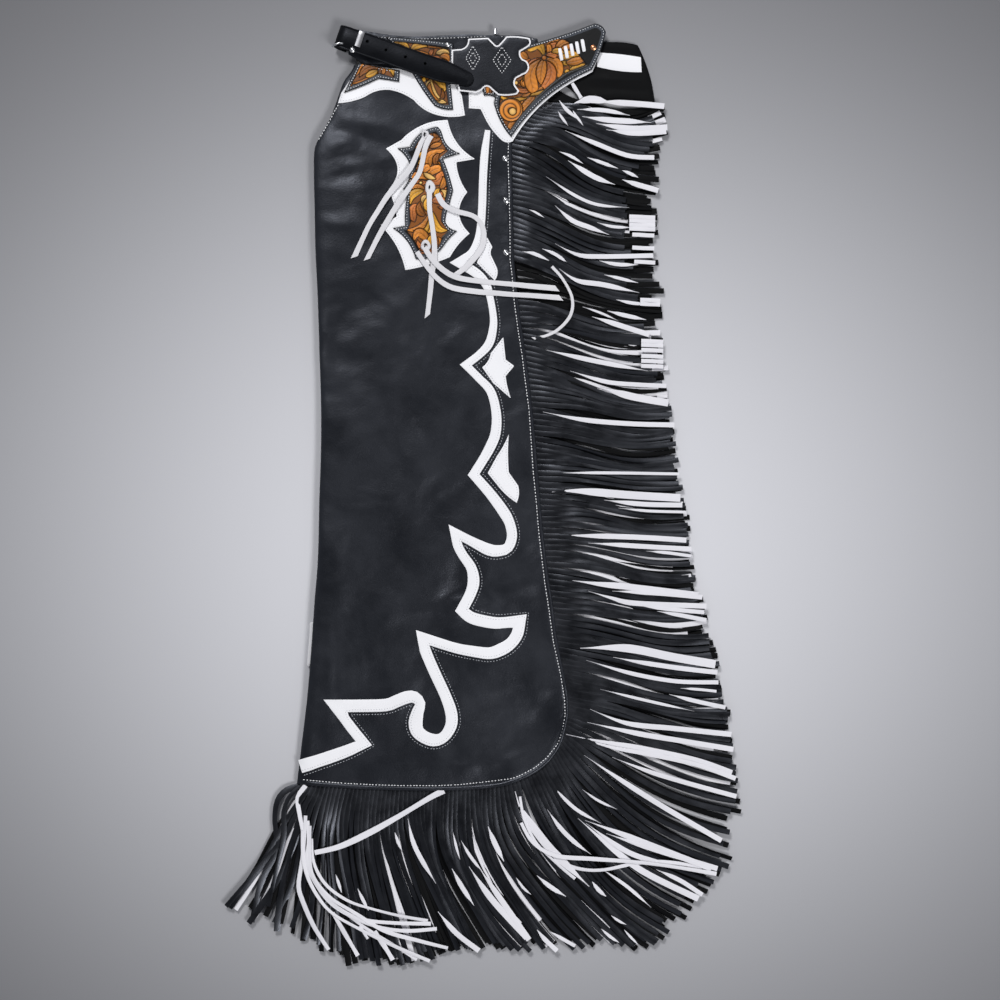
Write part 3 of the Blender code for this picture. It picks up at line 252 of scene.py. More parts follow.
# laces: across, up, height of the lace's underside above the leg panel
LACES = {
    "lace_top_a": [
        (-72, 460, 5.0), (-79, 448, 5.0), (-91, 419, 5.0), (-101, 406, 4.8), (-121, 382, 2.6),
        (-134, 362, 1.2), (-147, 340, 0.8), (-164, 303, 0.6),
    ],
    "lace_top_b": [
        (-66, 458, 6.8), (-73, 444, 7.0), (-80, 413, 5.6), (-90, 397, 5.2), (-109, 370, 4.0),
        (-120, 352, 2.8), (-133, 330, 1.4), (-148, 300, 0.6),
    ],
    "lace_middle_a": [
        (-68, 396, 5.0), (-68, 365, 5.0), (-65, 346, 5.0), (-62, 322, 5.0), (-62, 300, 4.6),
        (-65, 284, 2.0), (-67, 262, 0.8), (-71, 228, 0.6),
    ],
    "lace_middle_b": [
        (-58, 384, 5.0), (-50, 370, 5.0), (-34, 362, 4.4), (-14, 357, 2.8), (-4, 349, 2.2),
        (1, 337, 2.1), (0, 320, 2.1), (-8, 306, 2.1), (-22, 291, 2.1), (-38, 279, 1.2),
    ],
    "lace_low_a": [
        (-76, 318, 7.2), (-66, 302, 7.2), (-52, 288, 5.4), (-34, 278, 4.0), (-4, 273, 2.2),
        (40, 269, 0.8), (60, 267, 0.3), (95, 264, -0.4),
    ],
    "lace_low_b": [
        (-84, 310, 5.2), (-72, 292, 5.2), (-58, 276, 4.4), (-40, 265, 2.2), (-10, 260, 2.0),
        (15, 258, 2.0), (40, 256, 0.8), (60, 255, 0.3), (100, 252, -0.4),
    ],
    "lace_curl": [
        (88, 292, -0.4), (102, 276, -0.4), (114, 252, -0.4), (112, 230, -0.4), (98, 213, -0.4),
        (82, 204, -0.4), (64, 200, -0.4),
    ],
}
LACE_WIDTHS = {"lace_curl": 4.0}
LACE_WIDTH = 7.0

# fringe fans: root, middle and tip of a strand, and the share of it that the top layer reaches
FRINGE_FANS = {
    "upper_side": [
        (106, 498, 160, 487, 231, 494, 0.95), (93, 490, 153, 469, 236, 467, 0.92),
        (79, 485, 150, 454, 229, 442, 0.92), (60, 467, 124, 439, 225, 413, 0.88),
        (41, 447, 114, 413, 221, 383, 0.86), (40, 410, 111, 375, 221, 349, 0.86),
        (40, 371, 111, 338, 221, 322, 0.86), (40, 332, 111, 300, 224, 285, 0.88),
        (41, 303, 111, 270, 228, 243, 0.90),
    ],
    "side": [
        (46, 247, 124, 234, 229, 224, 0.92), (52, 205, 131, 183, 233, 170, 0.94),
        (60, 157, 143, 135, 236, 129, 1.0), (66, 106, 150, 91, 243, 85, 1.0),
        (69, 64, 156, 47, 248, 44, 1.0), (74, 0, 165, -17, 260, -22, 1.0),
        (81, -68, 173, -83, 268, -87, 1.0), (88, -134, 186, -150, 283, -155, 1.0),
        (97, -186, 201, -206, 301, -216, 1.0), (103, -219, 211, -246, 309, -256, 1.0),
    ],
    "corner": [
        (106, -233, 214, -264, 313, -278, 1.0), (111, -262, 216, -291, 320, -311, 1.0),
        (111, -285, 214, -329, 326, -362, 1.0), (108, -305, 201, -371, 324, -419, 1.0),
        (101, -320, 182, -401, 312, -470, 1.0), (90, -338, 156, -429, 285, -504, 1.0),
        (73, -352, 137, -454, 252, -544, 1.0), (50, -365, 105, -474, 214, -577, 1.0),
    ],
    "hem": [
        (36, -370, 84, -478, 182, -578, 1.0), (3, -376, 28, -480, 105, -577, 1.0),
        (-29, -378, -6, -486, 60, -577, 1.0), (-61, -379, -45, -486, 9, -582, 1.0),
        (-93, -379, -81, -486, -36, -585, 1.0), (-125, -378, -119, -486, -87, -596, 1.0),
        (-157, -377, -156, -486, -134, -600, 1.0), (-177, -376, -183, -486, -170, -598, 1.0),
        (-192, -375, -207, -483, -209, -576, 1.0), (-203, -374, -230, -475, -244, -562, 1.0),
        (-212, -373, -250, -461, -283, -541, 1.0), (-220, -372, -265, -439, -324, -529, 1.0),
    ],
}

# how each fan's strands bend: sideways swing near the root, the same further out
FAN_SWING = {
    "upper_side": (1.0, 6.5), "side": (0.5, 4.0), "corner": (0.0, 3.0), "hem": (0.0, -3.0),
    "gap_top": (0.0, 1.0), "gap_side": (0.0, 5.0),
}

# fringe layers: name, height of the underside, spacing and width of the strands, seed
FRINGE_LAYERS = [
    ("fringe_under", 0.9, 6.4, 7.2, 31),
    ("fringe_white", 3.2, 7.6, 7.0, 47),
    ("fringe_top", 5.4, 7.4, 6.9, 59),
]

# black strands of the lowest layer that close the gaps beside the fans
GAP_FANS = {
    "gap_top": [(86, 521, 150, 501, 233, 498, 1.0), (106, 498, 160, 487, 231, 494, 1.0)],
    "gap_side": [(41, 303, 111, 270, 228, 243, 1.0), (46, 247, 124, 234, 229, 224, 1.0)],
}
STRAND_WALL = 1.3

# share of the white layer's strands that are left out, by fan: a strand shows above this limit
BUNCH_LIMITS = {"upper_side": 0.3, "side": -0.2, "corner": 0.35, "hem": 0.25}

# how far the strands of each layer draw together in their clumps
CLUMPING = {"fringe_under": 0.12, "fringe_white": 0.2, "fringe_top": 0.27}
STRAND_SEGMENTS = 14

# white strands that work out between the black ones, in pixels of the photograph: points
# along the middle, width, and True where the far end is cut and shows
WHITE_SLIVERS = [
    ([(596, 102), (630, 104), (664, 107)], 5.5, True),
    ([(574, 104), (590, 100), (610, 103)], 7, False),
    ([(577, 110), (604, 111), (630, 116)], 4, False),
    ([(582, 117), (612, 121), (651, 123)], 5.5, False),
    ([(596, 124), (630, 129), (667, 128)], 5.5, True),
    ([(606, 130), (636, 134), (666, 132)], 5, True),
    ([(559, 101), (566, 110), (578, 120)], 3.4, False),
    ([(558, 112), (562, 119), (568, 126)], 2.4, False),
    ([(572, 110), (577, 118), (583, 126)], 2.4, False),
    ([(565, 131), (593, 143), (627, 156), (654, 158)], 4.4, True),
    ([(559, 152), (571, 157), (583, 164)], 2.8, False),
    ([(587, 158), (601, 163), (618, 169)], 3.2, False),
    ([(622, 171), (630, 174), (638, 178)], 3.2, False),
    ([(568, 161), (593, 177), (615, 185)], 5, False),
    ([(622, 180), (640, 186), (658, 191)], 5, True),
    ([(546, 177), (573, 195), (597, 205), (629, 208)], 3, False),
    ([(555, 206), (572, 221), (590, 228), (609, 235)], 4.6, False),
    ([(529, 210), (536, 213), (544, 218)], 2, False),
    ([(597, 223), (612, 227), (632, 228)], 2.8, False),
    ([(555, 244), (577, 255), (600, 257), (653, 256)], 4.4, True),
    ([(599, 261), (618, 265), (638, 265)], 3.6, False),
    ([(522, 252), (534, 254), (549, 261)], 3.4, False),
    ([(542, 249), (554, 254), (569, 264)], 3.2, False),
    ([(559, 269), (577, 281), (603, 285), (639, 293)], 4.8, False),
    ([(604, 275), (620, 279), (638, 283)], 3, False),
    ([(616, 300), (630, 303), (648, 305)], 3.2, False),
    ([(582, 307), (600, 313), (618, 321)], 2.2, False),
    ([(607, 311), (626, 316), (646, 320)], 4, False),
    ([(592, 317), (627, 328), (649, 335)], 5, True),
    ([(545, 350), (589, 360), (630, 368), (648, 371)], 4.6, False),
    ([(570, 371), (606, 382), (640, 385), (666, 386)], 4.2, True),
    ([(601, 388), (633, 397), (668, 403)], 7, True),
    ([(543, 412), (584, 420), (631, 424), (674, 425)], 4.6, True),
    ([(553, 473), (620, 473), (679, 474)], 2.8, True),
    ([(552, 492), (577, 491), (630, 495), (680, 498)], 7.5, True),
    ([(604, 500), (640, 504), (682, 505)], 4.6, True),
    ([(618, 508), (650, 511), (684, 512)], 2.6, True),
    ([(560, 535), (631, 537), (686, 540)], 5, True),
    ([(588, 543), (638, 546), (691, 549)], 4.6, True),
    ([(646, 551), (670, 553), (691, 556)], 3, True),
    ([(570, 580), (600, 584), (631, 587), (698, 595)], 6, True),
    ([(588, 591), (612, 598), (635, 603), (706, 606)], 5, True),
    ([(612, 591), (658, 593), (702, 597)], 4.6, True),
    ([(633, 604), (670, 609), (704, 612)], 4, True),
    ([(657, 611), (680, 615), (706, 620)], 4, True),
    ([(580, 648), (627, 648), (674, 657), (715, 664)], 8, True),
    ([(613, 657), (640, 662), (680, 668), (717, 672)], 4.6, True),
    ([(586, 660), (631, 673), (676, 681), (718, 682)], 4, True),
    ([(680, 688), (698, 689), (716, 691)], 2.6, True),
    ([(600, 689), (637, 698), (694, 711)], 2.8, False),
    ([(669, 694), (696, 701), (725, 707)], 4, True),
    ([(590, 709), (627, 723), (674, 728), (731, 734)], 5, True),
    ([(587, 722), (637, 733), (685, 741), (733, 749)], 5, True),
    ([(566, 734), (608, 744), (647, 751), (697, 762), (736, 776)], 9, True),
    ([(612, 757), (658, 774), (736, 796)], 4.4, True),
    ([(584, 755), (623, 781), (666, 808), (721, 840)], 5, True),
    ([(582, 789), (598, 800), (617, 809)], 2.4, False),
    ([(551, 784), (575, 808), (601, 823)], 3.4, False),
    ([(586, 823), (631, 853), (686, 868)], 5, False),
    ([(606, 833), (658, 850), (717, 868)], 5, True),
    ([(515, 791), (522, 810), (545, 842), (565, 863), (589, 886)], 8, False),
    ([(547, 809), (560, 827), (575, 842), (591, 854)], 4.2, False),
    ([(578, 818), (616, 851), (645, 872), (698, 898)], 6, True),
    ([(585, 820), (639, 840), (711, 868)], 5.6, True),
    ([(601, 868), (627, 886), (651, 907)], 3.2, False),
    ([(656, 869), (680, 880), (702, 894)], 4.2, True),
    ([(488, 826), (495, 843), (504, 861)], 5, False),
    ([(479, 867), (501, 899), (529, 939)], 5.4, True),
    ([(537, 875), (550, 886), (566, 896)], 4.2, False),
    ([(592, 881), (598, 889), (606, 896)], 4, False),
    ([(516, 877), (523, 887), (531, 894)], 2.6, False),
    ([(537, 929), (546, 940), (557, 950)], 4.4, True),
    ([(550, 931), (562, 938), (575, 945)], 3.4, True),
    ([(601, 928), (610, 936), (619, 942)], 3, False),
    ([(624, 929), (631, 937), (638, 944)], 2.4, False),
    ([(611, 915), (618, 920), (626, 924)], 2.4, False),
    ([(408, 818), (415, 846), (436, 883)], 4.4, False),
    ([(395, 832), (398, 841), (402, 850)], 3, False),
    ([(453, 832), (456, 845), (460, 859)], 2.4, False),
    ([(461, 840), (470, 855), (483, 872)], 3, False),
    ([(469, 866), (493, 900), (527, 937)], 6, True),
    ([(438, 911), (456, 932), (479, 950)], 5, True),
    ([(452, 868), (462, 886), (474, 905)], 4.4, False),
    ([(358, 888), (363, 899), (369, 910)], 3.2, False),
    ([(336, 874), (339, 883), (342, 892)], 2.8, False),
]

# cut white ends in a row down the fringe's outer edge: heights in the photograph, left and right
WHITE_ENDS = [
    ((217, 221, 225, 229), 629, 655), ((235, 248), 632, 654), ((262,), 634, 655), ((300, 304), 640, 660),
    ((341, 345, 350, 356, 361, 366), 641, 663),
]

# white strands that lie on top of the fringe: points in pixels, width
WHITE_OVER = [
    ([(306, 785), (298, 797), (300, 815), (304, 838), (302, 862), (299, 885), (303, 900), (314, 925),
      (329, 949)], 4.6),
    ([(444, 790), (430, 797), (400, 815), (370, 832), (340, 846), (315, 852)], 6.2),
    ([(306, 815), (305, 835), (305, 858), (318, 885), (335, 905), (360, 918), (390, 922), (431, 923)], 4.4),
    ([(308, 820), (309, 842), (308, 862), (322, 890), (345, 912), (375, 925), (405, 930), (437, 928)], 3.6),
    ([(310, 825), (310, 850), (313, 874), (330, 896), (355, 912), (385, 930), (420, 940), (448, 947)], 4.0),
    ([(303, 830), (304, 860), (312, 885), (330, 910), (360, 928), (395, 945), (430, 960)], 3.6),
    ([(312, 838), (314, 862), (326, 884), (348, 900), (372, 908), (400, 915), (428, 920)], 3.2),
    ([(345, 912), (370, 930), (395, 945), (417, 959)], 3.4),
    ([(333, 912), (345, 932), (358, 955)], 4.6),
    ([(360, 925), (364, 931), (368, 938)], 3.0),
    ([(375, 930), (384, 944), (393, 959)], 5.0),
    ([(521, 822), (533, 842), (556, 855), (593, 858), (635, 861), (675, 866), (716, 873)], 4.2),
    ([(553, 859), (579, 868), (604, 869), (639, 862), (670, 862), (702, 867)], 4.0),
    ([(520, 796), (524, 818), (536, 842), (556, 862), (575, 878)], 3.0),
    ([(572, 84), (581, 99)], 4.0),
]

# black strands blown out to the left of the hem: points in pixels, width
BLACK_OVER = [
    ([(300, 786), (287, 790), (278, 800), (275, 818), (276, 850), (262, 880), (252, 922)], 6.4),
    ([(303, 787), (296, 812), (284, 838), (258, 870), (230, 908)], 6.6),
    ([(308, 788), (303, 818), (292, 850), (272, 890), (249, 923)], 6.0),
    ([(306, 788), (300, 820), (288, 860), (280, 900), (277, 931)], 6.4),
    ([(301, 786), (290, 796), (284, 812), (284, 836), (276, 872), (268, 906)], 5.0),
]

# stitched lines on the leg, in pixels
SEAM_STITCH_PX = [
    (508.5, 142), (508, 160), (509, 190), (510, 230), (510, 260), (512, 275), (514, 300), (518, 330),
    (522, 355), (525, 380), (529, 410), (531, 440), (533, 470), (536, 500), (539, 535), (542, 560),
    (545, 585), (549, 610), (553, 640), (560.6, 675), (564.5, 700), (565, 715), (562, 732), (558, 743),
    (547, 757), (535, 767), (520, 775), (512, 778), (488, 781), (459, 784), (440, 785), (420, 785),
    (400, 785), (370, 784), (350, 783), (335, 782), (320, 780.5), (303, 779),
]
FOLD_STITCH_PX = [(362, 64), (354, 76), (347, 92), (340, 104), (334, 114), (330, 122), (324, 132), (319, 141)]


def at(px, py):
    """A pixel of the photograph as a place across and up."""
    return ((px - ORIGIN_PX[0]) * PIXEL, (ORIGIN_PX[1] - py) * PIXEL)


# smooth lines

def smooth(value):
    value = np.clip(value, 0.0, 1.0)
    return value * value * (3.0 - 2.0 * value)


def blend(a, b, share):
    return tuple(p + (q - p) * share for p, q in zip(a, b))


def spline_point(before, start, end, after, share):
    s2 = share * share
    s3 = s2 * share
    point = []
    for p0, p1, p2, p3 in zip(before, start, end, after):
        point.append((2 * s3 - 3 * s2 + 1) * p1 + (s3 - 2 * s2 + share) * (p2 - p0) / 2.0
                     + (3 * s2 - 2 * s3) * p2 + (s3 - s2) * (p3 - p1) / 2.0)
    return tuple(point)


def smooth_run(points, step):
    """Points about a step apart on the smooth curve through the given ones."""
    line = [tuple(points[0])]
    for i in range(len(points) - 1):
        before, after = points[max(i - 1, 0)], points[min(i + 2, len(points) - 1)]
        pieces = max(1, round(math.dist(points[i][:2], points[i + 1][:2]) / step))
        for k in range(1, pieces + 1):
            line.append(spline_point(before, points[i], points[i + 1], after, k / pieces))
    return line


def edge_at(table, height):
    """Place across of an edge at a height up the leg, smooth between the rows."""
    if height >= table[0][0]:
        return table[0][1]
    for i in range(len(table) - 1):
        high, low = table[i][0], table[i + 1][0]
        if height >= low:
            before, after = table[max(i - 1, 0)], table[min(i + 2, len(table) - 1)]
            share = (high - height) / (high - low)
            slope_in = (table[i + 1][1] - before[1]) / (before[0] - low) * (high - low)
            slope_out = (after[1] - table[i][1]) / (high - after[0]) * (high - low)
            s2 = share * share
            s3 = s2 * share
            return ((2 * s3 - 3 * s2 + 1) * table[i][1] + (s3 - 2 * s2 + share) * slope_in
                    + (3 * s2 - 2 * s3) * table[i + 1][1] + (s3 - s2) * slope_out)
    return table[-1][1]


def resampled(points, step):
    """Points at an even step along a line."""
    points = np.array(points, float)
    lengths = np.r_[0.0, np.cumsum(np.linalg.norm(np.diff(points[:, :2], axis=0), axis=1))]
    count = max(2, round(lengths[-1] / step) + 1)
    places = np.linspace(0.0, lengths[-1], count)
    return np.column_stack([np.interp(places, lengths, points[:, k]) for k in range(points.shape[1])])


def wander(rng, count, scale, octaves=2):
    """A smooth random line of values about -1 to 1, with a bend every few steps."""
    line = np.zeros(count)
    for octave in range(octaves):
        period = max(2.0, scale / 2 ** octave)
        knots = int(count / period) + 3
        values = [rng.uniform(-1, 1) for _ in range(knots)]
        places = np.arange(count) / period
        low = places.astype(int)
        share = smooth(places - low)
        values = np.array(values)
        line += (values[low] * (1 - share) + values[low + 1] * share) / 2 ** octave
    return line


# the leg's height above the surface

Y_LINE = np.arange(-400.0, 621.0, 1.0)
LEFT_LINE = np.array([edge_at(LEFT_EDGE, y) for y in Y_LINE])
RIGHT_LINE = np.array([edge_at(RIGHT_EDGE, y) for y in Y_LINE])


def fold_heights(y):
    """Crown and seat of the fold at heights up the leg."""
    rows = FOLD_HEIGHTS
    crown = np.full(np.shape(y), float(rows[-1][1]))
    seat = np.full(np.shape(y), float(rows[-1][2]))
    for upper, lower in zip(rows, rows[1:]):
        here = (y >= lower[0]) & (y < upper[0])
        share = smooth((upper[0] - y) / (upper[0] - lower[0]))
        crown = np.where(here, upper[1] + (lower[1] - upper[1]) * share, crown)
        seat = np.where(here, upper[2] + (lower[2] - upper[2]) * share, seat)
    crown = np.where(y >= rows[0][0], rows[0][1], crown)
    seat = np.where(y >= rows[0][0], rows[0][2], seat)
    return crown, seat


def fold_sum(table, x, y):
    rise = np.zeros(np.shape(x))
    for across, up, half_length, half_width, height, turn in table:
        c, s = math.cos(math.radians(turn)), math.sin(math.radians(turn))
        u = ((x - across) * c + (y - up) * s) / half_length
        v = (-(x - across) * s + (y - up) * c) / half_width
        rise = rise + height * np.exp(-u * u - v * v)
    return rise


def slack(x, y):
    """The soft unevenness of a leather panel that lies loose."""
    waves = [(0.021, 0.013, 0.4, 0.50), (-0.016, 0.029, 2.1, 0.46), (0.043, -0.018, 4.0, 0.36),
             (0.031, 0.062, 1.2, 0.34), (-0.060, 0.064, 5.3, 0.24), (0.083, 0.101, 3.3, 0.14)]
    return sum(size * np.sin(a * x + b * y + phase + 0.8 * np.sin(0.017 * x - 0.023 * y + phase))
               for a, b, phase, size in waves)


def flat_top(x, y):
    """Height of the leg's outer side, before the fold at its left rolls down."""
    x, y = np.asarray(x, float), np.asarray(y, float)
    left = np.interp(y, Y_LINE, LEFT_LINE)
    right = np.interp(np.maximum(y, LEG_SPLIT), Y_LINE, RIGHT_LINE)
    crown = fold_heights(y)[0]
    across = (x - left) / (right - left)
    off_edge = smooth((x - left) / (2.0 * ROLL_RUN))
    near_fold = off_edge * smooth((0.55 - across) / 0.2)
    free = off_edge * smooth((right - 4.0 - x) / 14.0)
    return (EDGE_TOP + (crown - EDGE_TOP) * (1.0 - smooth(across)) + fold_sum(LEG_FOLDS, x, y) * near_fold
            + (fold_sum(CREASES, x, y) + slack(x, y)) * free)


def leg_top(x, y):
    """Height of the leg's outer side above the surface."""
    x, y = np.asarray(x, float), np.asarray(y, float)
    top = flat_top(x, y)
    run = np.clip(x - np.interp(y, Y_LINE, LEFT_LINE), 0.0, ROLL_RUN)
    crown, seat = fold_heights(y)
    middle = (crown + seat) / 2.0
    rest = 1.0 - run / ROLL_RUN
    return middle + (top - middle) * np.sqrt(np.clip(1.0 - rest * rest, 0.0, 1.0))


# materials

def node(tree, kind, **values):
    made = tree.nodes.new(kind)
    for key, value in values.items():
        if key in made.inputs:
            made.inputs[key].default_value = value
        else:
            setattr(made, key, value)
    return made


def leather(name, colour, roughness=0.5, grain=900.0, depth=0.25, mottle=0.12, sheen=0.0, tone=None,
            coat=0.0, wrinkle=0.15, specular=0.5, patches=38.0, wear=0.07, rumple=0.0,
            tint=(1.0, 1.0, 1.0)):
    """Leather: pebbled grain, fine wrinkles, slow changes of colour and of gloss."""
    material = bpy.data.materials.new(name)
    material.use_nodes = True
    tree = material.node_tree
    shader = tree.nodes["Principled BSDF"]
    shader.inputs["Specular IOR Level"].default_value = specular
    shader.inputs["Specular Tint"].default_value = tuple(tint) + (1.0,)
    shader.inputs["Sheen Weight"].default_value = sheen
    shader.inputs["Sheen Roughness"].default_value = 0.5
    shader.inputs["Coat Weight"].default_value = coat
    shader.inputs["Coat Roughness"].default_value = 0.3
    place = node(tree, "ShaderNodeTexCoord")
    slow = node(tree, "ShaderNodeTexNoise", Scale=patches, Detail=6.0, Roughness=0.62)
    fine = node(tree, "ShaderNodeTexNoise", Scale=320.0, Detail=5.0, Roughness=0.65)
    cells = node(tree, "ShaderNodeTexVoronoi", Scale=grain)
    for texture in (slow, fine, cells):
        tree.links.new(place.outputs["Object"], texture.inputs["Vector"])
    mix = node(tree, "ShaderNodeMix", data_type="RGBA")
    if tone is None:
        mix.inputs["A"].default_value = tuple(c * (1.0 - mottle) for c in colour) + (1.0,)
        mix.inputs["B"].default_value = tuple(min(1.0, c * (1.0 + mottle)) for c in colour) + (1.0,)
        tree.links.new(slow.outputs["Fac"], mix.inputs["Factor"])
    else:
        painted = node(tree, "ShaderNodeAttribute", attribute_name=tone)
        darker = node(tree, "ShaderNodeMix", data_type="RGBA", blend_type="MULTIPLY")
        darker.inputs["Factor"].default_value = 1.0
        darker.inputs["B"].default_value = (0.72, 0.66, 0.6, 1.0)
        tree.links.new(painted.outputs["Color"], darker.inputs["A"])
        tree.links.new(darker.outputs["Result"], mix.inputs["A"])
        tree.links.new(painted.outputs["Color"], mix.inputs["B"])
        tree.links.new(fine.outputs["Fac"], mix.inputs["Factor"])
    tree.links.new(mix.outputs["Result"], shader.inputs["Base Color"])
    gloss = node(tree, "ShaderNodeMapRange")
    gloss.inputs["From Min"].default_value = 0.3
    gloss.inputs["From Max"].default_value = 0.7
    gloss.inputs["To Min"].default_value = roughness - wear
    gloss.inputs["To Max"].default_value = roughness + wear
    tree.links.new(slow.outputs["Fac"], gloss.inputs["Value"])
    tree.links.new(gloss.outputs["Result"], shader.inputs["Roughness"])
    pebble = node(tree, "ShaderNodeBump", Strength=depth, Distance=0.0002)
    crease = node(tree, "ShaderNodeBump", Strength=wrinkle, Distance=0.0006)
    tree.links.new(cells.outputs["Distance"], pebble.inputs["Height"])
    tree.links.new(fine.outputs["Fac"], crease.inputs["Height"])
    tree.links.new(crease.outputs["Normal"], pebble.inputs["Normal"])
    if rumple:
        swell = node(tree, "ShaderNodeTexNoise", Scale=10.5, Detail=2.4, Roughness=0.5, Distortion=0.2)
        wave = node(tree, "ShaderNodeBump", Strength=rumple, Distance=0.016)
        tree.links.new(place.outputs["Object"], swell.inputs["Vector"])
        tree.links.new(swell.outputs["Fac"], wave.inputs["Height"])
        tree.links.new(wave.outputs["Normal"], crease.inputs["Normal"])
    tree.links.new(pebble.outputs["Normal"], shader.inputs["Normal"])
    return material


def metal(name, colour, roughness=0.25, scratch=0.08):
    material = bpy.data.materials.new(name)
    material.use_nodes = True
    tree = material.node_tree
    shader = tree.nodes["Principled BSDF"]
    shader.inputs["Metallic"].default_value = 1.0
    place = node(tree, "ShaderNodeTexCoord")
    wear = node(tree, "ShaderNodeTexNoise", Scale=600.0, Detail=4.0)
    tree.links.new(place.outputs["Object"], wear.inputs["Vector"])
    mix = node(tree, "ShaderNodeMix", data_type="RGBA")
    mix.inputs["A"].default_value = tuple(c * 0.75 for c in colour) + (1.0,)
    mix.inputs["B"].default_value = tuple(colour) + (1.0,)
    tree.links.new(wear.outputs["Fac"], mix.inputs["Factor"])
    tree.links.new(mix.outputs["Result"], shader.inputs["Base Color"])
    gloss = node(tree, "ShaderNodeMapRange")
    gloss.inputs["To Min"].default_value = roughness - scratch
    gloss.inputs["To Max"].default_value = roughness + scratch
    tree.links.new(wear.outputs["Fac"], gloss.inputs["Value"])
    tree.links.new(gloss.outputs["Result"], shader.inputs["Roughness"])
    return material


BLUE_SHEEN = (0.83, 0.87, 1.0)
BLACK = leather("black_leather", (0.0048, 0.0056, 0.0078), 0.41, depth=0.35, mottle=0.3, specular=0.49, patches=13.0,
                wear=0.08, wrinkle=0.3, rumple=0.6, tint=BLUE_SHEEN)
FRINGE_BLACK = leather("fringe_black", (0.0028, 0.0030, 0.0038), 0.36, depth=0.2, mottle=0.4, specular=0.60, wear=0.10,
                       tint=BLUE_SHEEN)
# A darker, duller copy of the fringe leather: painted shade for the fringe layers that lie underneath and for the lower
# yoke under the fold.
SHADED_FRINGE_BLACK = leather("fringe_black_shaded", (0.0022, 0.0023, 0.0028), 0.62, depth=0.3, mottle=0.4, specular=0.10, wear=0.08)
INNER = leather("inner_leather", (0.010, 0.010, 0.011), 0.75, depth=0.4)
STRAP_BLACK = leather("strap_black", (0.0030, 0.0033, 0.0042), 0.44, depth=0.3, mottle=0.3, specular=0.13, wrinkle=0.25,
                      tint=BLUE_SHEEN)
PLATE_BLACK = leather("plate_black", (0.0042, 0.0047, 0.0062), 0.44, depth=0.3, mottle=0.3, specular=0.36, wrinkle=0.25,
                      tint=BLUE_SHEEN)
WHITE = leather("white_leather", (0.83, 0.825, 0.85), 0.5, depth=0.12, mottle=0.03, wrinkle=0.1)
FRINGE_WHITE = leather("fringe_white", (0.72, 0.71, 0.75), 0.55, depth=0.12, mottle=0.05, wrinkle=0.15)
LACE = leather("lace_leather", (0.66, 0.65, 0.675), 0.5, depth=0.15, mottle=0.08)
CARVED = leather("carved_leather", (0.7, 0.3, 0.08), 0.44, depth=0.15, tone="tone", specular=0.28)
BORDER = leather("stitched_border", (0.055, 0.06, 0.075), 0.5, depth=0.3, mottle=0.3)
THREAD = leather("white_thread", (0.80, 0.80, 0.82), 0.7, grain=3000.0, depth=0.3, mottle=0.05)
DULL_THREAD = leather("grey_thread", (0.36, 0.37, 0.40), 0.7, grain=3000.0, depth=0.3, mottle=0.1)
STEEL = metal("steel", (0.72, 0.72, 0.74), 0.22)
DARK_STEEL = metal("dull_steel", (0.36, 0.36, 0.38), 0.4)
COPPER = metal("copper", (0.72, 0.36, 0.20), 0.3)


# meshes

def new_piece(name, points, faces, material, slot, body="root", angle=40.0):
    """A piece of the object from points in millimetres."""
    mesh = bpy.data.meshes.new(name)
    mesh.from_pydata((np.asarray(points, float) * MM).tolist(), [], faces)
    mesh.materials.append(material)
    mesh.validate()
    bm = bmesh.new()
    bm.from_mesh(mesh)
    bmesh.ops.recalc_face_normals(bm, faces=bm.faces)
    bm.to_mesh(mesh)
    bm.free()
    mesh.shade_smooth()
    mesh.set_sharp_from_angle(angle=math.radians(angle))
    thing = bpy.data.objects.new(name, mesh)
    bpy.context.scene.collection.objects.link(thing)
    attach(thing, body)
    return thing


class Builder:
    """Gathers points and faces of several bodies in one mesh."""

    def __init__(self):
        self.points = []
        self.faces = []

    def loft(self, rings, closed_ends=True):
        size = len(rings[0])
        base = len(self.points)
        for ring in rings:
            self.points.extend(ring)
        for r in range(len(rings) - 1):
            for k in range(size):
                a = base + r * size + k
                b = base + r * size + (k + 1) % size
                self.faces.append((a, b, b + size, a + size))
        if closed_ends:
            self.faces.append(tuple(base + k for k in range(size)))
            last = base + (len(rings) - 1) * size
            self.faces.append(tuple(last + k for k in reversed(range(size))))

    def piece(self, name, material, slot, **more):
        return new_piece(name, self.points, self.faces, material, slot, **more)


# cut patches of leather

def outline_points(rows, step=3.0):
    """A closed outline from its corners, with bowed stretches as arcs."""
    turn = sum(a[0] * b[1] - b[0] * a[1] for a, b in zip(rows, rows[1:] + rows[:1]))
    side = 1.0 if turn > 0 else -1.0
    points = []
    for start, end in zip(rows, rows[1:] + rows[:1]):
        dx, dy = end[0] - start[0], end[1] - start[1]
        length = math.hypot(dx, dy)
        pieces = max(1, round(length / step))
        for k in range(pieces):
            share = k / pieces
            bow = start[2] * 4.0 * share * (1.0 - share) * side
            points.append((start[0] + dx * share + dy / length * bow,
                           start[1] + dy * share - dx / length * bow))
    return np.array(points)


def grown(points, distance):
    """The outline moved out by a distance."""
    before, after = np.roll(points, 1, axis=0), np.roll(points, -1, axis=0)
    turn = np.sum(points[:, 0] * after[:, 1] - after[:, 0] * points[:, 1])
    side = 1.0 if turn > 0 else -1.0
    run_in, run_out = points - before, after - points
    run_in = run_in / np.linalg.norm(run_in, axis=1)[:, None]
    run_out = run_out / np.linalg.norm(run_out, axis=1)[:, None]
    normal = np.column_stack([run_in[:, 1] + run_out[:, 1], -(run_in[:, 0] + run_out[:, 0])]) * side
    size = np.linalg.norm(normal, axis=1)
    reach = np.clip(distance * 2.0 / size, -abs(distance) * 1.6, abs(distance) * 1.6)
    return points + normal / size[:, None] * reach[:, None]


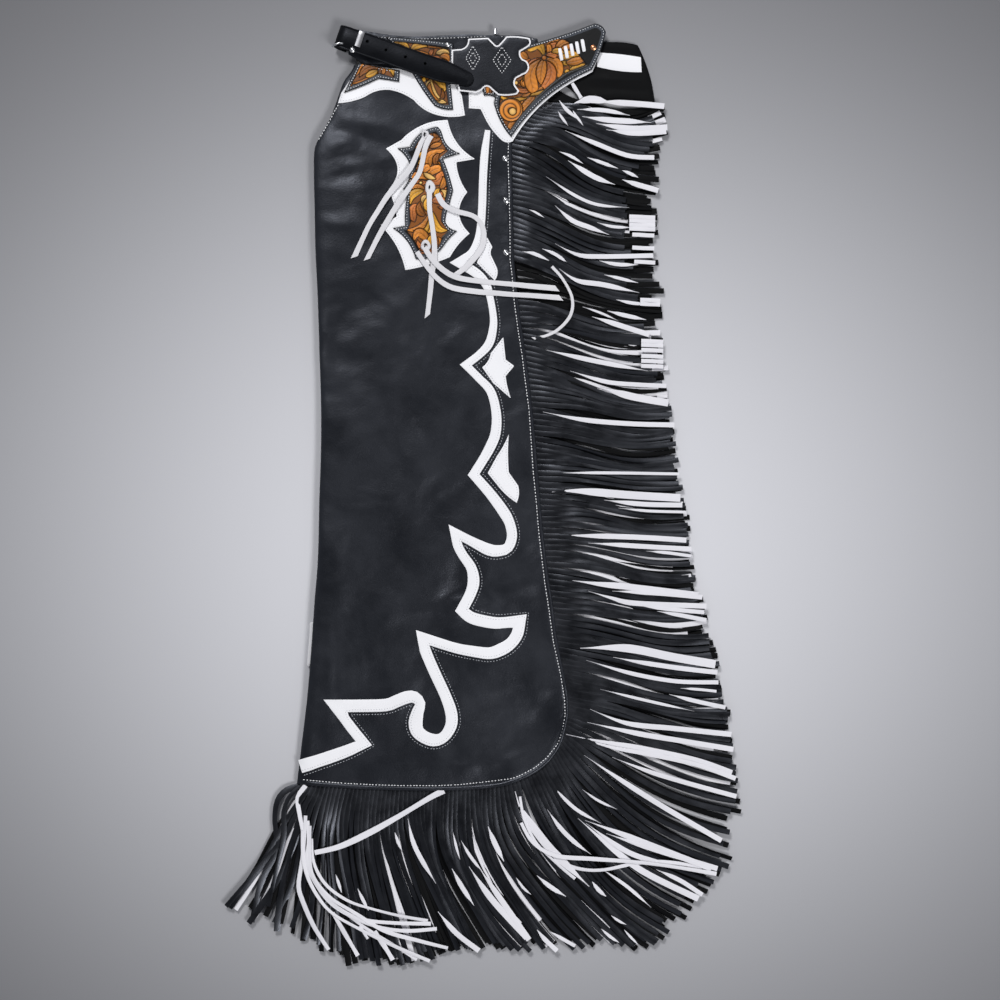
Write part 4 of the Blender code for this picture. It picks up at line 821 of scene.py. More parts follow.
def inside(x, y, outline):
    """True for each place inside a closed outline."""
    result = np.zeros(np.shape(x), bool)
    for (x1, y1), (x2, y2) in zip(outline, np.roll(outline, -1, axis=0)):
        if y1 == y2:
            continue
        crosses = (y1 > y) != (y2 > y)
        result ^= crosses & (x < (x2 - x1) * (y - y1) / (y2 - y1) + x1)
    return result


def nearest(points, line, closed=True):
    """Distance from each point to a line, and the nearest place on it."""
    points, line = np.asarray(points, float), np.asarray(line, float)
    best = np.full(len(points), 1e9)
    place = points.copy()
    ends = np.roll(line, -1, axis=0) if closed else line[1:]
    for a, b in zip(line, ends):
        run = b - a
        size = run @ run
        if size == 0:
            continue
        share = np.clip((points - a) @ run / size, 0.0, 1.0)
        spot = a + share[:, None] * run
        distance = np.linalg.norm(points - spot, axis=1)
        closer = distance < best
        best[closer] = distance[closer]
        place[closer] = spot[closer]
    return best, place


def patch(name, outline, lift, wall, cell, material, slot, surface=leg_top, relief=None, rounding=0.4,
          puff=0.0):
    """A cut piece of leather that lies on a surface, its edges rounded, with relief if given."""
    low, high = outline.min(axis=0) - cell, outline.max(axis=0) + cell
    across = np.arange(low[0], high[0] + cell, cell)
    up = np.arange(low[1], high[1] + cell, cell)
    middle_x, middle_y = np.meshgrid(across[:-1] + cell / 2, up[:-1] + cell / 2)
    keep = inside(middle_x, middle_y, outline)
    rows, columns = keep.shape
    used = np.zeros((rows + 1, columns + 1), int)
    full = np.zeros((rows + 1, columns + 1), int)
    for dr in (0, 1):
        for dc in (0, 1):
            full[dr:rows + dr, dc:columns + dc] += keep
    used = full > 0
    index = np.full(used.shape, -1)
    index[used] = np.arange(used.sum())
    grid_x, grid_y = np.meshgrid(across, up)
    xy = np.column_stack([grid_x[used], grid_y[used]])
    rim = full[used] < 4
    xy[rim] = nearest(xy[rim], outline)[1]
    distance = nearest(xy, outline)[0]
    ground = surface(xy[:, 0], xy[:, 1])
    top = ground + lift + wall
    if puff:
        top = top + puff * smooth(distance / 5.0)
    tones = None
    if relief is not None:
        height, tones = relief(xy[:, 0], xy[:, 1], distance)
        top = top + height * smooth(distance / 1.0)
    top = top - rounding * (1.0 - smooth(distance / (cell * 0.9)))
    count = len(xy)
    points = np.vstack([np.column_stack([xy, top]), np.column_stack([xy, ground + lift])])
    corner = [index[:-1, :-1][keep], index[:-1, 1:][keep], index[1:, 1:][keep], index[1:, :-1][keep]]
    quads = np.column_stack(corner)
    faces = [tuple(q) for q in quads.tolist()]
    faces += [tuple(count + k for k in reversed(q)) for q in quads.tolist()]
    edges = {}
    for q in quads.tolist():
        for a, b in zip(q, q[1:] + q[:1]):
            if (b, a) in edges:
                del edges[(b, a)]
            else:
                edges[(a, b)] = True
    faces += [(b, a, count + a, count + b) for a, b in edges]
    thing = new_piece(name, points, faces, material, slot, angle=50.0)
    if tones is not None:
        paint = thing.data.color_attributes.new("tone", "FLOAT_COLOR", "POINT")
        flat = np.ones((len(points), 4), np.float32)
        flat[:count, :3] = tones
        # the underside takes the tone at 0.3: painted shade that darkens the side walls towards the bottom
        flat[count:, :3] = tones * 0.3
        paint.data.foreach_set("color", flat.ravel())
    return thing


# carving

ORANGE = (0.70, 0.255, 0.038)
GOLD = (0.82, 0.42, 0.05)
ROSE = (0.62, 0.20, 0.05)
PALE = (0.90, 0.56, 0.18)
UMBER = (0.34, 0.115, 0.018)
FIELD = (0.27, 0.090, 0.014)
DYED = (0.052, 0.061, 0.079)
EDGE_DYE = (0.0025, 0.0026, 0.0034)


def leaf(start, bend, end, width, tone, shape="leaf", veins=4):
    return {"kind": shape, "line": [at(*start), at(*bend), at(*end)], "width": width * PIXEL,
            "tone": tone, "veins": veins}


def bead(centre, radius, tone):
    return {"kind": "bead", "centre": at(*centre), "radius": radius * PIXEL, "tone": tone}


def scroll(centre, radius, turns, tone, start=0.0):
    return {"kind": "scroll", "centre": at(*centre), "radius": radius * PIXEL, "turns": turns,
            "tone": tone, "start": start}


def carve(x, y, motifs):
    """Relief height and colour of leather carved with leaves, petals, beads and scrolls; the colour holds painted
    highlights on the raised parts and painted shade at their edges and in the cuts.
    """
    height = np.full(x.shape, -0.45) + 0.12 * np.sin(x * 2.9) * np.sin(y * 3.1)
    tones = np.tile(np.array(FIELD), (len(x), 1))
    tones = tones * (0.75 + 0.35 * np.sin(x * 3.3 + 1.0) * np.sin(y * 2.7))[:, None]
    points = np.column_stack([x, y])
    for motif in motifs:
        tone = np.array(motif["tone"])
        if motif["kind"] in ("bead", "scroll"):
            offset = points - np.array(motif["centre"])
            radius = np.linalg.norm(offset, axis=1)
            part = radius / motif["radius"]
            here = part < 1.0
            rim = np.clip((motif["radius"] - radius) / 0.9, 0.0, 1.0)
            clear = radius - motif["radius"]
            # light is painted light: brighter on the bead's crown and on the scroll's ridges, darker in the scroll's
            # troughs
            if motif["kind"] == "bead":
                rise = 0.9 * np.sqrt(np.clip(1.0 - part ** 2, 0.0, 1.0))
                light = 0.8 + 0.5 * (1.0 - part)
            else:
                angle = np.arctan2(offset[:, 1], offset[:, 0]) / (2 * math.pi) + motif["start"]
                wave = (part * motif["turns"] - angle) % 1.0
                rise = 0.15 + 0.75 * np.sin(math.pi * wave) ** 0.7
                light = 0.35 + 0.95 * np.sin(math.pi * wave)
                rim = rim * smooth(np.minimum(wave, 1.0 - wave) / 0.16)
        else:
            start, bend, end = (np.array(p) for p in motif["line"])
            steps = np.linspace(0.0, 1.0, 25)
            pull = 2.0 * bend - (start + end) / 2.0
            line = np.array([(1 - t) ** 2 * start + 2 * t * (1 - t) * pull + t * t * end for t in steps])
            best = np.full(len(x), 1e9)
            along_line = np.zeros(len(x))
            sign = np.ones(len(x))
            for k in range(24):
                a, run = line[k], line[k + 1] - line[k]
                share = np.clip((points - a) @ run / (run @ run), 0.0, 1.0)
                away = points - a - share[:, None] * run
                distance = np.linalg.norm(away, axis=1)
                closer = distance < best
                best[closer] = distance[closer]
                along_line[closer] = (k + share[closer]) / 24
                sign[closer] = np.sign(run[0] * away[closer, 1] - run[1] * away[closer, 0])
            if motif["kind"] == "petal":
                profile = np.clip(along_line, 0.0, 1.0) ** 0.75 * np.clip(1.0 - along_line, 0, 1) ** 0.28 * 1.55
            elif motif["kind"] == "stem":
                profile = 0.55 + 0.45 * np.sin(math.pi * along_line)
            else:
                profile = np.sin(math.pi * np.clip(along_line, 0.0, 1.0) ** 0.8) ** 0.75
            half = np.maximum(motif["width"] / 2.0 * profile, 0.05)
            part = best / half
            here = part < 1.0
            rim = np.clip((half - best) / 0.95, 0.0, 1.0)
            clear = best - half
            rise = 0.95 * np.sqrt(np.clip(1.0 - part ** 2, 0.0, 1.0)) * (0.75 + 0.35 * along_line)
            # painted light on leaves and petals: darker at the stem, brighter towards the tip, one side lighter than
            # the other
            light = 0.46 + 0.72 * along_line + 0.15 * sign * part
            if motif["veins"]:
                # painted shade in the middle vein's groove and across the side veins
                rib = np.exp(-(best / 0.55) ** 2) * (along_line < 0.92)
                rise = rise - 0.45 * rib
                light = light * (1.0 - 0.55 * rib)
                side_veins = 0.5 + 0.5 * np.sin(2 * math.pi * (along_line * motif["veins"] * 1.6 - part * 0.9))
                rise = rise + 0.16 * side_veins
                light = light * (0.86 + 0.2 * side_veins)
        # painted shade at each motif's rounded-off edge
        light = light * (0.08 + 0.92 * smooth(rim))
        height = np.where(here, rise, height)
        tones[here] = np.clip(0.92 * tone * light[here, None], 0.0, 1.0)
        # painted shade in the sunken cut round each motif
        round_it = (clear >= -0.15) & (clear < 1.0)
        tones[round_it] *= 0.14
        height[round_it] = -0.5
    return height, tones


def carved_relief(motifs, carved_outline, glow=1.0, border_width=1.0):
    """Carving inside its outline, with dyed border leather round it, and painted shade along the groove of the outline.
    """

    def relief(x, y, distance):
        height, tones = carve(x, y, motifs)
        tones = np.clip(tones * glow, 0.0, 1.0)
        within = inside(x, y, carved_outline)
        to_edge = nearest(np.column_stack([x, y]), carved_outline)[0]
        border = ~within
        height = np.where(border, 0.25 - 0.5 * np.exp(-(to_edge / border_width) ** 2), height)
        speckle = 1.0 + 0.35 * np.sin(x * 5.1 + y * 2.3) * np.sin(y * 4.7 - x * 1.9)
        tones[border] = np.where((distance[border] < 5.5)[:, None], np.array(DYED) * speckle[border, None],
                                 np.array(EDGE_DYE))
        tones[distance < 1.0] = np.array(EDGE_DYE)
        # painted shade in the groove that runs round the carving's outline
        tones = tones * (1.0 - 0.82 * np.exp(-(to_edge / 0.75) ** 2))[:, None]
        return height, tones

    return relief


THIGH_MOTIFS = [
    leaf((424, 150), (418, 141), (433, 132), 9, ORANGE), leaf((418, 143), (418, 136), (430, 131), 5, PALE),
    leaf((426, 146), (432, 142), (441, 140), 9, UMBER), leaf((430, 149), (437, 146), (442, 145), 5, ORANGE),
    leaf((437, 139), (436, 136), (434, 131), 6, UMBER), leaf((424, 153), (417, 150), (409, 150), 6, ORANGE),
    leaf((424, 168), (421, 160), (425, 152), 9, GOLD), leaf((431, 169), (430, 158), (446, 151), 10, ORANGE),
    leaf((437, 168), (436, 160), (440, 155), 6, UMBER), leaf((440, 178), (447, 172), (438, 163), 8, ORANGE),
    leaf((418, 176), (413, 170), (411, 180), 6, UMBER), leaf((423, 172), (416, 166), (420, 160), 5, UMBER),
    leaf((426, 186), (443, 196), (442, 178), 7, ROSE), leaf((428, 182), (438, 182), (442, 173), 12, ROSE, "petal"),
    leaf((428, 180), (431, 173), (441, 169), 10, ORANGE, "petal"),
    leaf((428, 180), (424, 172), (430, 168), 9, ORANGE, "petal"),
    leaf((429, 181), (421, 177), (412, 178), 9, ORANGE, "petal"),
    leaf((429, 183), (420, 184), (412, 183), 8, ROSE, "petal"),
    leaf((424, 174), (430, 178), (436, 180), 5, PALE, "leaf", 0), bead((421, 184), 1.6, PALE),
    leaf((425, 190), (417, 188), (411, 190), 6, ORANGE), leaf((424, 192), (413, 196), (411, 206), 8, GOLD),
    leaf((440, 190), (444, 184), (443, 178), 6, ORANGE), leaf((438, 202), (437, 194), (440, 190), 6, GOLD),
    leaf((443, 203), (447, 196), (441, 191), 7, PALE), leaf((432, 203), (440, 201), (446, 204), 8, ROSE),
    leaf((423, 204), (424, 199), (427, 197), 5, PALE), leaf((415, 223), (413, 212), (418, 205), 9, ROSE),
    leaf((426, 216), (420, 212), (420, 203), 7, UMBER), leaf((431, 213), (427, 206), (429, 198), 7, GOLD),
    leaf((438, 208), (446, 208), (445, 203), 5, ROSE),
    leaf((430, 214), (423, 228), (406, 231), 8, ORANGE), leaf((431, 217), (427, 232), (414, 232), 7, GOLD),
    leaf((432, 216), (434, 226), (428, 234), 7, GOLD), leaf((433, 213), (437, 228), (448, 231), 8, GOLD),
    leaf((431, 246), (420, 234), (414, 243), 9, ORANGE), leaf((430, 250), (421, 248), (418, 241), 6, ROSE),
    leaf((431, 248), (430, 241), (433, 236), 5, GOLD), leaf((437, 250), (442, 245), (438, 238), 6, ORANGE),
    leaf((428, 253), (420, 255), (421, 249), 5, ROSE),
]
WING_MOTIFS = [
    leaf((533, 98), (516, 104), (500, 112), 7, ORANGE, "stem", 0), leaf((531, 97), (512, 101), (500, 97), 4, GOLD, "stem", 0),
    leaf((534, 97), (527, 106), (518, 113), 9, ORANGE), leaf((518, 118), (512, 127), (507, 131), 9, ORANGE),
    leaf((503, 121), (500, 112), (505, 101), 6, ROSE), leaf((505, 130), (500, 122), (499, 114), 5, ORANGE),
    scroll((511, 111), 11.5, 2.6, ORANGE, 0.2), bead((512.5, 112.5), 3.6, PALE),
    leaf((530, 96), (550, 90), (564, 78), 4.5, GOLD, "stem", 0), leaf((529, 93), (548, 86), (561, 75), 3.5, ORANGE, "stem", 0),
    leaf((522, 98), (527, 95), (532, 93), 5, ORANGE), leaf((533, 90), (522, 92), (517, 88), 5, ROSE),
    leaf((532, 86), (522, 85), (514, 84), 6, UMBER), bead((516, 84), 2.0, PALE), scroll((525, 84), 4.6, 1.5, ORANGE, 0.5),
    leaf((531, 80), (526, 78), (523, 82), 5, GOLD), leaf((562, 71), (562, 77), (556, 81), 6, GOLD),
    leaf((564, 78), (560, 74), (555, 74), 5, PALE), leaf((557, 66), (568, 63), (571, 70), 8, GOLD),
    leaf((569, 72), (577, 69), (585, 65), 7, GOLD), bead((567, 73), 2.6, GOLD),
    leaf((549, 60), (560, 58), (566, 62), 9, UMBER), leaf((547, 56), (555, 50), (559, 49), 9, UMBER),
    leaf((545, 51), (556, 43), (571, 41), 8, ORANGE), leaf((546, 53), (552, 47), (561, 45), 6, ROSE),
    leaf((545, 57), (549, 53), (548, 46), 6, ORANGE, "petal"),
    leaf((543, 58), (532, 64), (524, 56), 6, ROSE, "petal"), leaf((528, 60), (523, 56), (521, 52), 7, ORANGE),
    leaf((545, 60), (533, 64), (531, 72), 9, ROSE, "petal"), leaf((545, 61), (556, 64), (557, 78), 13, ORANGE, "petal"),
    leaf((544, 60), (531, 74), (535, 93), 15, ORANGE, "petal"), leaf((545, 62), (551, 74), (543, 89), 14, ROSE, "petal"),
    leaf((544, 60), (541, 74), (541, 86), 10, ORANGE), leaf((544, 58), (538, 46), (527, 51), 13, GOLD, "petal"),
    leaf((545, 57), (551, 56), (556, 58), 7, ROSE, "petal"), bead((544, 59), 2.4, UMBER),
    leaf((556, 50), (564, 44), (575, 42), 8, ORANGE), leaf((560, 54), (570, 50), (584, 50), 10, ORANGE),
    leaf((560, 60), (570, 56), (582, 58), 9, GOLD), leaf((566, 64), (577, 62), (587, 58), 8, ORANGE),
    leaf((574, 46), (580, 47), (585, 53), 6, ROSE), leaf((552, 54), (558, 52), (564, 55), 6, GOLD),
]
LOBE_A_MOTIFS = [
    leaf((381, 68), (366, 62), (351, 84), 14, ORANGE), leaf((379, 72), (368, 82), (352, 85), 6, ORANGE),
    leaf((380, 70), (368, 70), (360, 79), 8, UMBER), leaf((378, 72), (371, 76), (366, 78), 7, GOLD),
    leaf((382, 67), (377, 64), (368, 64), 6, GOLD), leaf((383, 67), (391, 68), (394, 78), 9, GOLD),
    leaf((383, 69), (384, 73), (381, 77), 4, ORANGE), bead((351, 87), 2.0, ORANGE),
]
LOBE_B_MOTIFS = [
    leaf((431, 80), (432, 96), (447, 104), 11, PALE), leaf((433, 80), (443, 86), (443, 94), 8, GOLD),
    leaf((430, 84), (431, 95), (440, 102), 5, ORANGE), bead((424, 81), 2.4, GOLD), leaf((440, 100), (443, 97), (442, 90), 4, UMBER),
]
TAB_MOTIFS = [leaf((490, 85), (486, 90), (489, 96), 8, ORANGE), leaf((492, 87), (494, 91), (491, 95), 5, UMBER)]
BELT_MOTIFS = [
    leaf((394, 45), (403, 45), (410, 51), 6, GOLD), leaf((394, 46), (402, 49), (409, 52), 3.5, ORANGE),
    leaf((412, 52), (418, 47), (428, 48), 7, GOLD), leaf((414, 52), (424, 57), (432, 56), 8, ORANGE),
    leaf((428, 49), (436, 46), (446, 52), 7, ORANGE), leaf((430, 57), (437, 60), (443, 57), 6, ROSE),
    leaf((436, 55), (444, 53), (450, 55), 6, PALE), leaf((440, 58), (447, 58), (449, 64), 6, ORANGE),
    leaf((434, 51), (431, 54), (432, 58), 4, ROSE),
]


# stitching

def stitches(builder, line, pitch, length, width, clearance, surface=leg_top, closed=False, rng=None):
    """Short stitches in a row along a line."""
    line = np.asarray(line, float)
    if closed:
        line = np.vstack([line, line[:1]])
    places = resampled(line, 0.8)
    lengths = np.r_[0.0, np.cumsum(np.linalg.norm(np.diff(places, axis=0), axis=1))]
    count = max(1, int(lengths[-1] / pitch))
    for k in range(count):
        middle = (k + 0.5) * lengths[-1] / count
        if rng:
            middle += rng.uniform(-0.12, 0.12) * pitch
        span = middle + np.array([-0.5, 0.0, 0.5]) * length
        x = np.interp(span, lengths, places[:, 0])
        y = np.interp(span, lengths, places[:, 1])
        z = surface(x, y) + clearance
        run = np.array([x[2] - x[0], y[2] - y[0]])
        size = np.linalg.norm(run)
        if size < 0.3 * length:
            continue
        side = np.array([-run[1], run[0]]) / size * width / 2.0
        base = len(builder.points)
        builder.points += [
            (x[0], y[0], z[0] - 0.25), (x[1] - side[0], y[1] - side[1], z[1]),
            (x[2], y[2], z[2] - 0.25), (x[1] + side[0], y[1] + side[1], z[1]),
            (x[1], y[1], z[1] + 0.42), (x[1], y[1], z[1] - 0.4),
        ]
        for a, b in ((0, 1), (1, 2), (2, 3), (3, 0)):
            builder.faces.append((base + a, base + b, base + 4))
            builder.faces.append((base + b, base + a, base + 5))


# the leg panel

def line_point(line, lengths, distance):
    return np.array([np.interp(distance, lengths, line[:, 0]), np.interp(distance, lengths, line[:, 1])])


def panel_rows():
    """Lines across the leg from its top to the hem."""
    rows = []
    for level in np.r_[np.arange(LEG_TOP, LEG_SPLIT, -4.0), LEG_SPLIT]:
        rows.append(np.array([(np.interp(level, Y_LINE, LEFT_LINE), level),
                              (np.interp(level, Y_LINE, RIGHT_LINE), level)]))
    hem = resampled(smooth_run(HEM_EDGE, 4.0), 3.0)
    top = np.array([(np.interp(LEG_SPLIT, Y_LINE, LEFT_LINE), LEG_SPLIT),
                    (np.interp(LEG_SPLIT, Y_LINE, RIGHT_LINE), LEG_SPLIT)])
    count = 90
    hem_length = np.r_[0.0, np.cumsum(np.linalg.norm(np.diff(hem, axis=0), axis=1))]
    shares = list(np.arange(0.035, 0.9, 0.035)) + [
        0.905, 0.92, 0.932, 0.942, 0.950, 0.957, 0.964, 0.972, 0.981, 0.989, 0.995, 1.0]
    for share in shares:
        row = []
        for k in range(count):
            upper = top[0] + (top[1] - top[0]) * k / (count - 1)
            lower = line_point(hem, hem_length, hem_length[-1] * k / (count - 1))
            row.append(upper + (lower - upper) * share)
        rows.append(np.array(row))
    return rows


def panel_edge():
    """The seam edge from the top of the leg round the corner and along the hem."""
    side = [(np.interp(y, Y_LINE, RIGHT_LINE), y) for y in np.arange(LEG_TOP, LEG_SPLIT, -5.0)]
    return np.array(side + [tuple(p) for p in reversed(smooth_run(HEM_EDGE, 4.0))])


PANEL_EDGE = panel_edge()


def seam_relief(x, y):
    """Groove of the stitching and the rounded edge outside it."""
    distance = nearest(np.column_stack([x, y]), PANEL_EDGE, closed=False)[0]
    groove = -0.55 * np.exp(-((distance - SEAM_INSET) / 0.9) ** 2)
    welt = 0.45 * smooth((SEAM_INSET - distance) / 1.5) * np.sqrt(np.clip(distance / 1.8, 0.0, 1.0))
    edge = -0.5 * (1.0 - smooth(distance / 1.2))
    pucker = 0.16 * np.sin((x - y) * 0.42) * np.sin((x + y) * 0.13) * smooth((20.0 - distance) / 12.0)
    return groove + welt + edge + pucker * smooth(distance / 7.0)


def make_panel():
    lower_angles = [90, 72, 54, 36, 18, 0]
    upper_angles = [9, 18, 27, 36, 45, 54, 63, 72, 81, 90]
    xs, ys, kinds = [], [], []
    rows = panel_rows()
    for row in rows:
        lengths = np.r_[0.0, np.cumsum(np.linalg.norm(np.diff(row, axis=0), axis=1))]
        total = lengths[-1]
        near = [12.0, 10.0, 8.4, 7.2, 6.2, 5.6, 5.1, 4.6, 4.0, 3.0, 2.0, 1.1, 0.4, 0.0]
        middle = np.linspace(ROLL_RUN, total - 12.0, 70)[1:-1]
        runs = [RETURN_RUN]
        runs += [SEAT_RUN * (1 - math.cos(math.radians(a))) for a in lower_angles]
        runs += [ROLL_RUN * (1 - math.cos(math.radians(a))) for a in upper_angles]
        runs += list(middle) + [total - n for n in near]
        spots = np.column_stack([np.interp(runs, lengths, row[:, 0]), np.interp(runs, lengths, row[:, 1])])
        xs.append(spots[:, 0])
        ys.append(spots[:, 1])
    x, y = np.array(xs), np.array(ys)
    level = np.repeat([row[0][1] for row in rows], x.shape[1]).reshape(x.shape)
    crown, seat = fold_heights(level)
    middle = (crown + seat) / 2.0
    top = flat_top(x, y)
    angle = np.zeros(x.shape[1])
    part = np.zeros(x.shape[1], int)
    angle[1:1 + len(lower_angles)] = lower_angles
    first_upper = 1 + len(lower_angles)
    angle[first_upper:first_upper + len(upper_angles)] = upper_angles
    part[0] = -2
    part[1:first_upper] = -1
    part[first_upper:first_upper + len(upper_angles)] = 1
    part[first_upper + len(upper_angles):] = 2
    sine = np.sin(np.radians(angle))[None, :]
    relief = seam_relief(x.ravel(), y.ravel()).reshape(x.shape)

    def heights(inset):
        z = np.where(part == -2, seat + inset, 0.0)
        z = np.where(part == -1, middle - (middle - seat - inset) * sine, z)
        z = np.where(part == 1, middle + (top - inset - middle) * sine, z)
        extra = relief if inset == 0.0 else 0.0
        return np.where(part == 2, top - inset + extra, z)

    def places(inset):
        shift = np.zeros(x.shape)
        shift[:, 1:first_upper + len(upper_angles)] = inset * np.cos(
            np.radians(angle[1:first_upper + len(upper_angles)]))
        return x + shift

    outer = np.dstack([x, y, heights(0.0)]).reshape(-1, 3)
    inner = np.dstack([places(PANEL_WALL), y, heights(PANEL_WALL)]).reshape(-1, 3)
    points = np.vstack([outer, inner])
    count_rows, columns = x.shape
    offset = count_rows * columns
    faces = []
    for r in range(count_rows - 1):
        for c in range(columns - 1):
            a = r * columns + c
            faces.append((a, a + 1, a + columns + 1, a + columns))
            faces.append((offset + a + columns, offset + a + columns + 1, offset + a + 1, offset + a))
    rim = [(0, c) for c in range(columns)] + [(r, columns - 1) for r in range(1, count_rows)]
    rim += [(count_rows - 1, c) for c in range(columns - 2, -1, -1)]
    rim += [(r, 0) for r in range(count_rows - 2, 0, -1)]
    for (r1, c1), (r2, c2) in zip(rim, rim[1:] + rim[:1]):
        a, b = r1 * columns + c1, r2 * columns + c2
        faces.append((a, b, offset + b, offset + a))
    return new_piece("leg_panel", points, faces, BLACK, "black_leather", angle=60.0)


# the scroll band

def ribbon_sections(rows, step):
    """Left and right points along a band, mitred at its sharp points."""
    runs = [[rows[0][:3]]]
    for x, y, width, sharp in rows[1:]:
        runs[-1].append((x, y, width))
        if sharp:
            runs.append([(x, y, width)])
    line = []
    for run in runs:
        if len(run) > 1:
            points = smooth_run(run, step)
            first = not line
            line += [p + (k == 0 and not first,) for k, p in enumerate(points[:-1])]
    line.append(rows[-1][:3] + (False,))
    corners = []
    for i, here in enumerate(line):
        if here[3]:
            before, after = line[i - 1], line[i + 1]
            a = math.atan2(before[1] - here[1], before[0] - here[0])
            b = math.atan2(after[1] - here[1], after[0] - here[0])
            half = abs((a - b + math.pi) % (2 * math.pi) - math.pi) / 2.0
            corners.append((here, here[2] / 2.0 / math.tan(half) * 1.05))
    kept = [p for p in line if p[3] or all(math.dist(p[:2], c[:2]) > reach for c, reach in corners)]
    sections = []
    for i, here in enumerate(kept):
        before, after = kept[max(i - 1, 0)], kept[min(i + 1, len(kept) - 1)]
        in_x, in_y = here[0] - before[0], here[1] - before[1]
        out_x, out_y = after[0] - here[0], after[1] - here[1]
        in_length = math.hypot(in_x, in_y) or 1.0
        out_length = math.hypot(out_x, out_y) or 1.0
        tangent_x = in_x / in_length + out_x / out_length
        tangent_y = in_y / in_length + out_y / out_length
        size = math.hypot(tangent_x, tangent_y)
        reach = here[2] / size if here[3] else here[2] / 2.0
        side_x, side_y = -tangent_y / size * reach, tangent_x / size * reach
        sections.append(((here[0] + side_x, here[1] + side_y), (here[0] - side_x, here[1] - side_y)))
    return sections


def make_band():
    sections = ribbon_sections(SCROLL_BAND, 4.5)
    builder = Builder()
    shares = np.array([0.0, 0.0, 0.06, 0.2, 0.4, 0.6, 0.8, 0.94, 1.0, 1.0])
    rises = np.array([0.0, 0.75, 1.12, 1.3, 1.45, 1.45, 1.3, 1.12, 0.75, 0.0])
    rings = []
    for left, right in sections:
        x = left[0] + (right[0] - left[0]) * shares
        y = left[1] + (right[1] - left[1]) * shares
        z = leg_top(x, y) + LIFT_FIRST * (rises > 0) + rises
        rings.append(list(zip(x, y, z)))
    builder.loft(rings)
    band = builder.piece("scroll_band", WHITE, "white_leather", angle=55.0)
    left = np.array([s[0] for s in sections])
    right = np.array([s[1] for s in sections])
    return band, left, right


# fringe

def fan_at(rows, share):
    """Root, middle, tip and reach of the strand at a share of the way along the fan."""
    roots = [row[:2] for row in rows]
    lengths = [math.dist(a, b) for a, b in zip(roots, roots[1:])]
    target = share * sum(lengths)
    for i, length in enumerate(lengths):
        if target <= length or i == len(lengths) - 1:
            part = min(max(target / length, 0.0), 1.0)
            before, after = rows[max(i - 1, 0)], rows[min(i + 2, len(rows) - 1)]
            bent = spline_point(before, rows[i], rows[i + 1], after, part)
            return blend(rows[i][:2], rows[i + 1][:2], part) + bent[2:]
        target -= length
    return rows[-1]


def add_strand(builder, line, widths, heights, tilts, wall=STRAND_WALL):
    """One flat strand along a line, with its own width, height and tilt at each point."""
    line = np.asarray(line, float)
    run = np.gradient(line, axis=0)
    size = np.linalg.norm(run, axis=1)
    size[size == 0] = 1.0
    side = np.column_stack([-run[:, 1], run[:, 0]]) / size[:, None]
    rings = []
    for k in range(len(line)):
        half = widths[k] / 2.0
        c, s = math.cos(tilts[k]), math.sin(tilts[k])
        ring = []
        for across, rise in ((-1, 0.0), (-1, 0.9), (0, 1.4), (1, 0.9), (1, 0.0), (0, 0.15)):
            out, up = across * half, rise * wall
            ring.append((line[k, 0] + side[k, 0] * (out * c - up * s),
                         line[k, 1] + side[k, 1] * (out * c - up * s),
                         max(heights[k] + out * s + up * c, 0.4 + 0.5 * rise)))
        rings.append(ring)
    builder.loft(rings)


def gathered(rng, count):
    """Strands gather in clumps: how far each is from its clump's middle, and the clump's lift."""
    from_middle = []
    lifts = []
    while len(lifts) < count:
        size = rng.randint(3, 8)
        lift = rng.uniform(-0.5, 1.1)
        from_middle += [k - (size - 1) / 2.0 for k in range(size)]
        lifts += [lift] * size
    return from_middle[:count], lifts[:count]


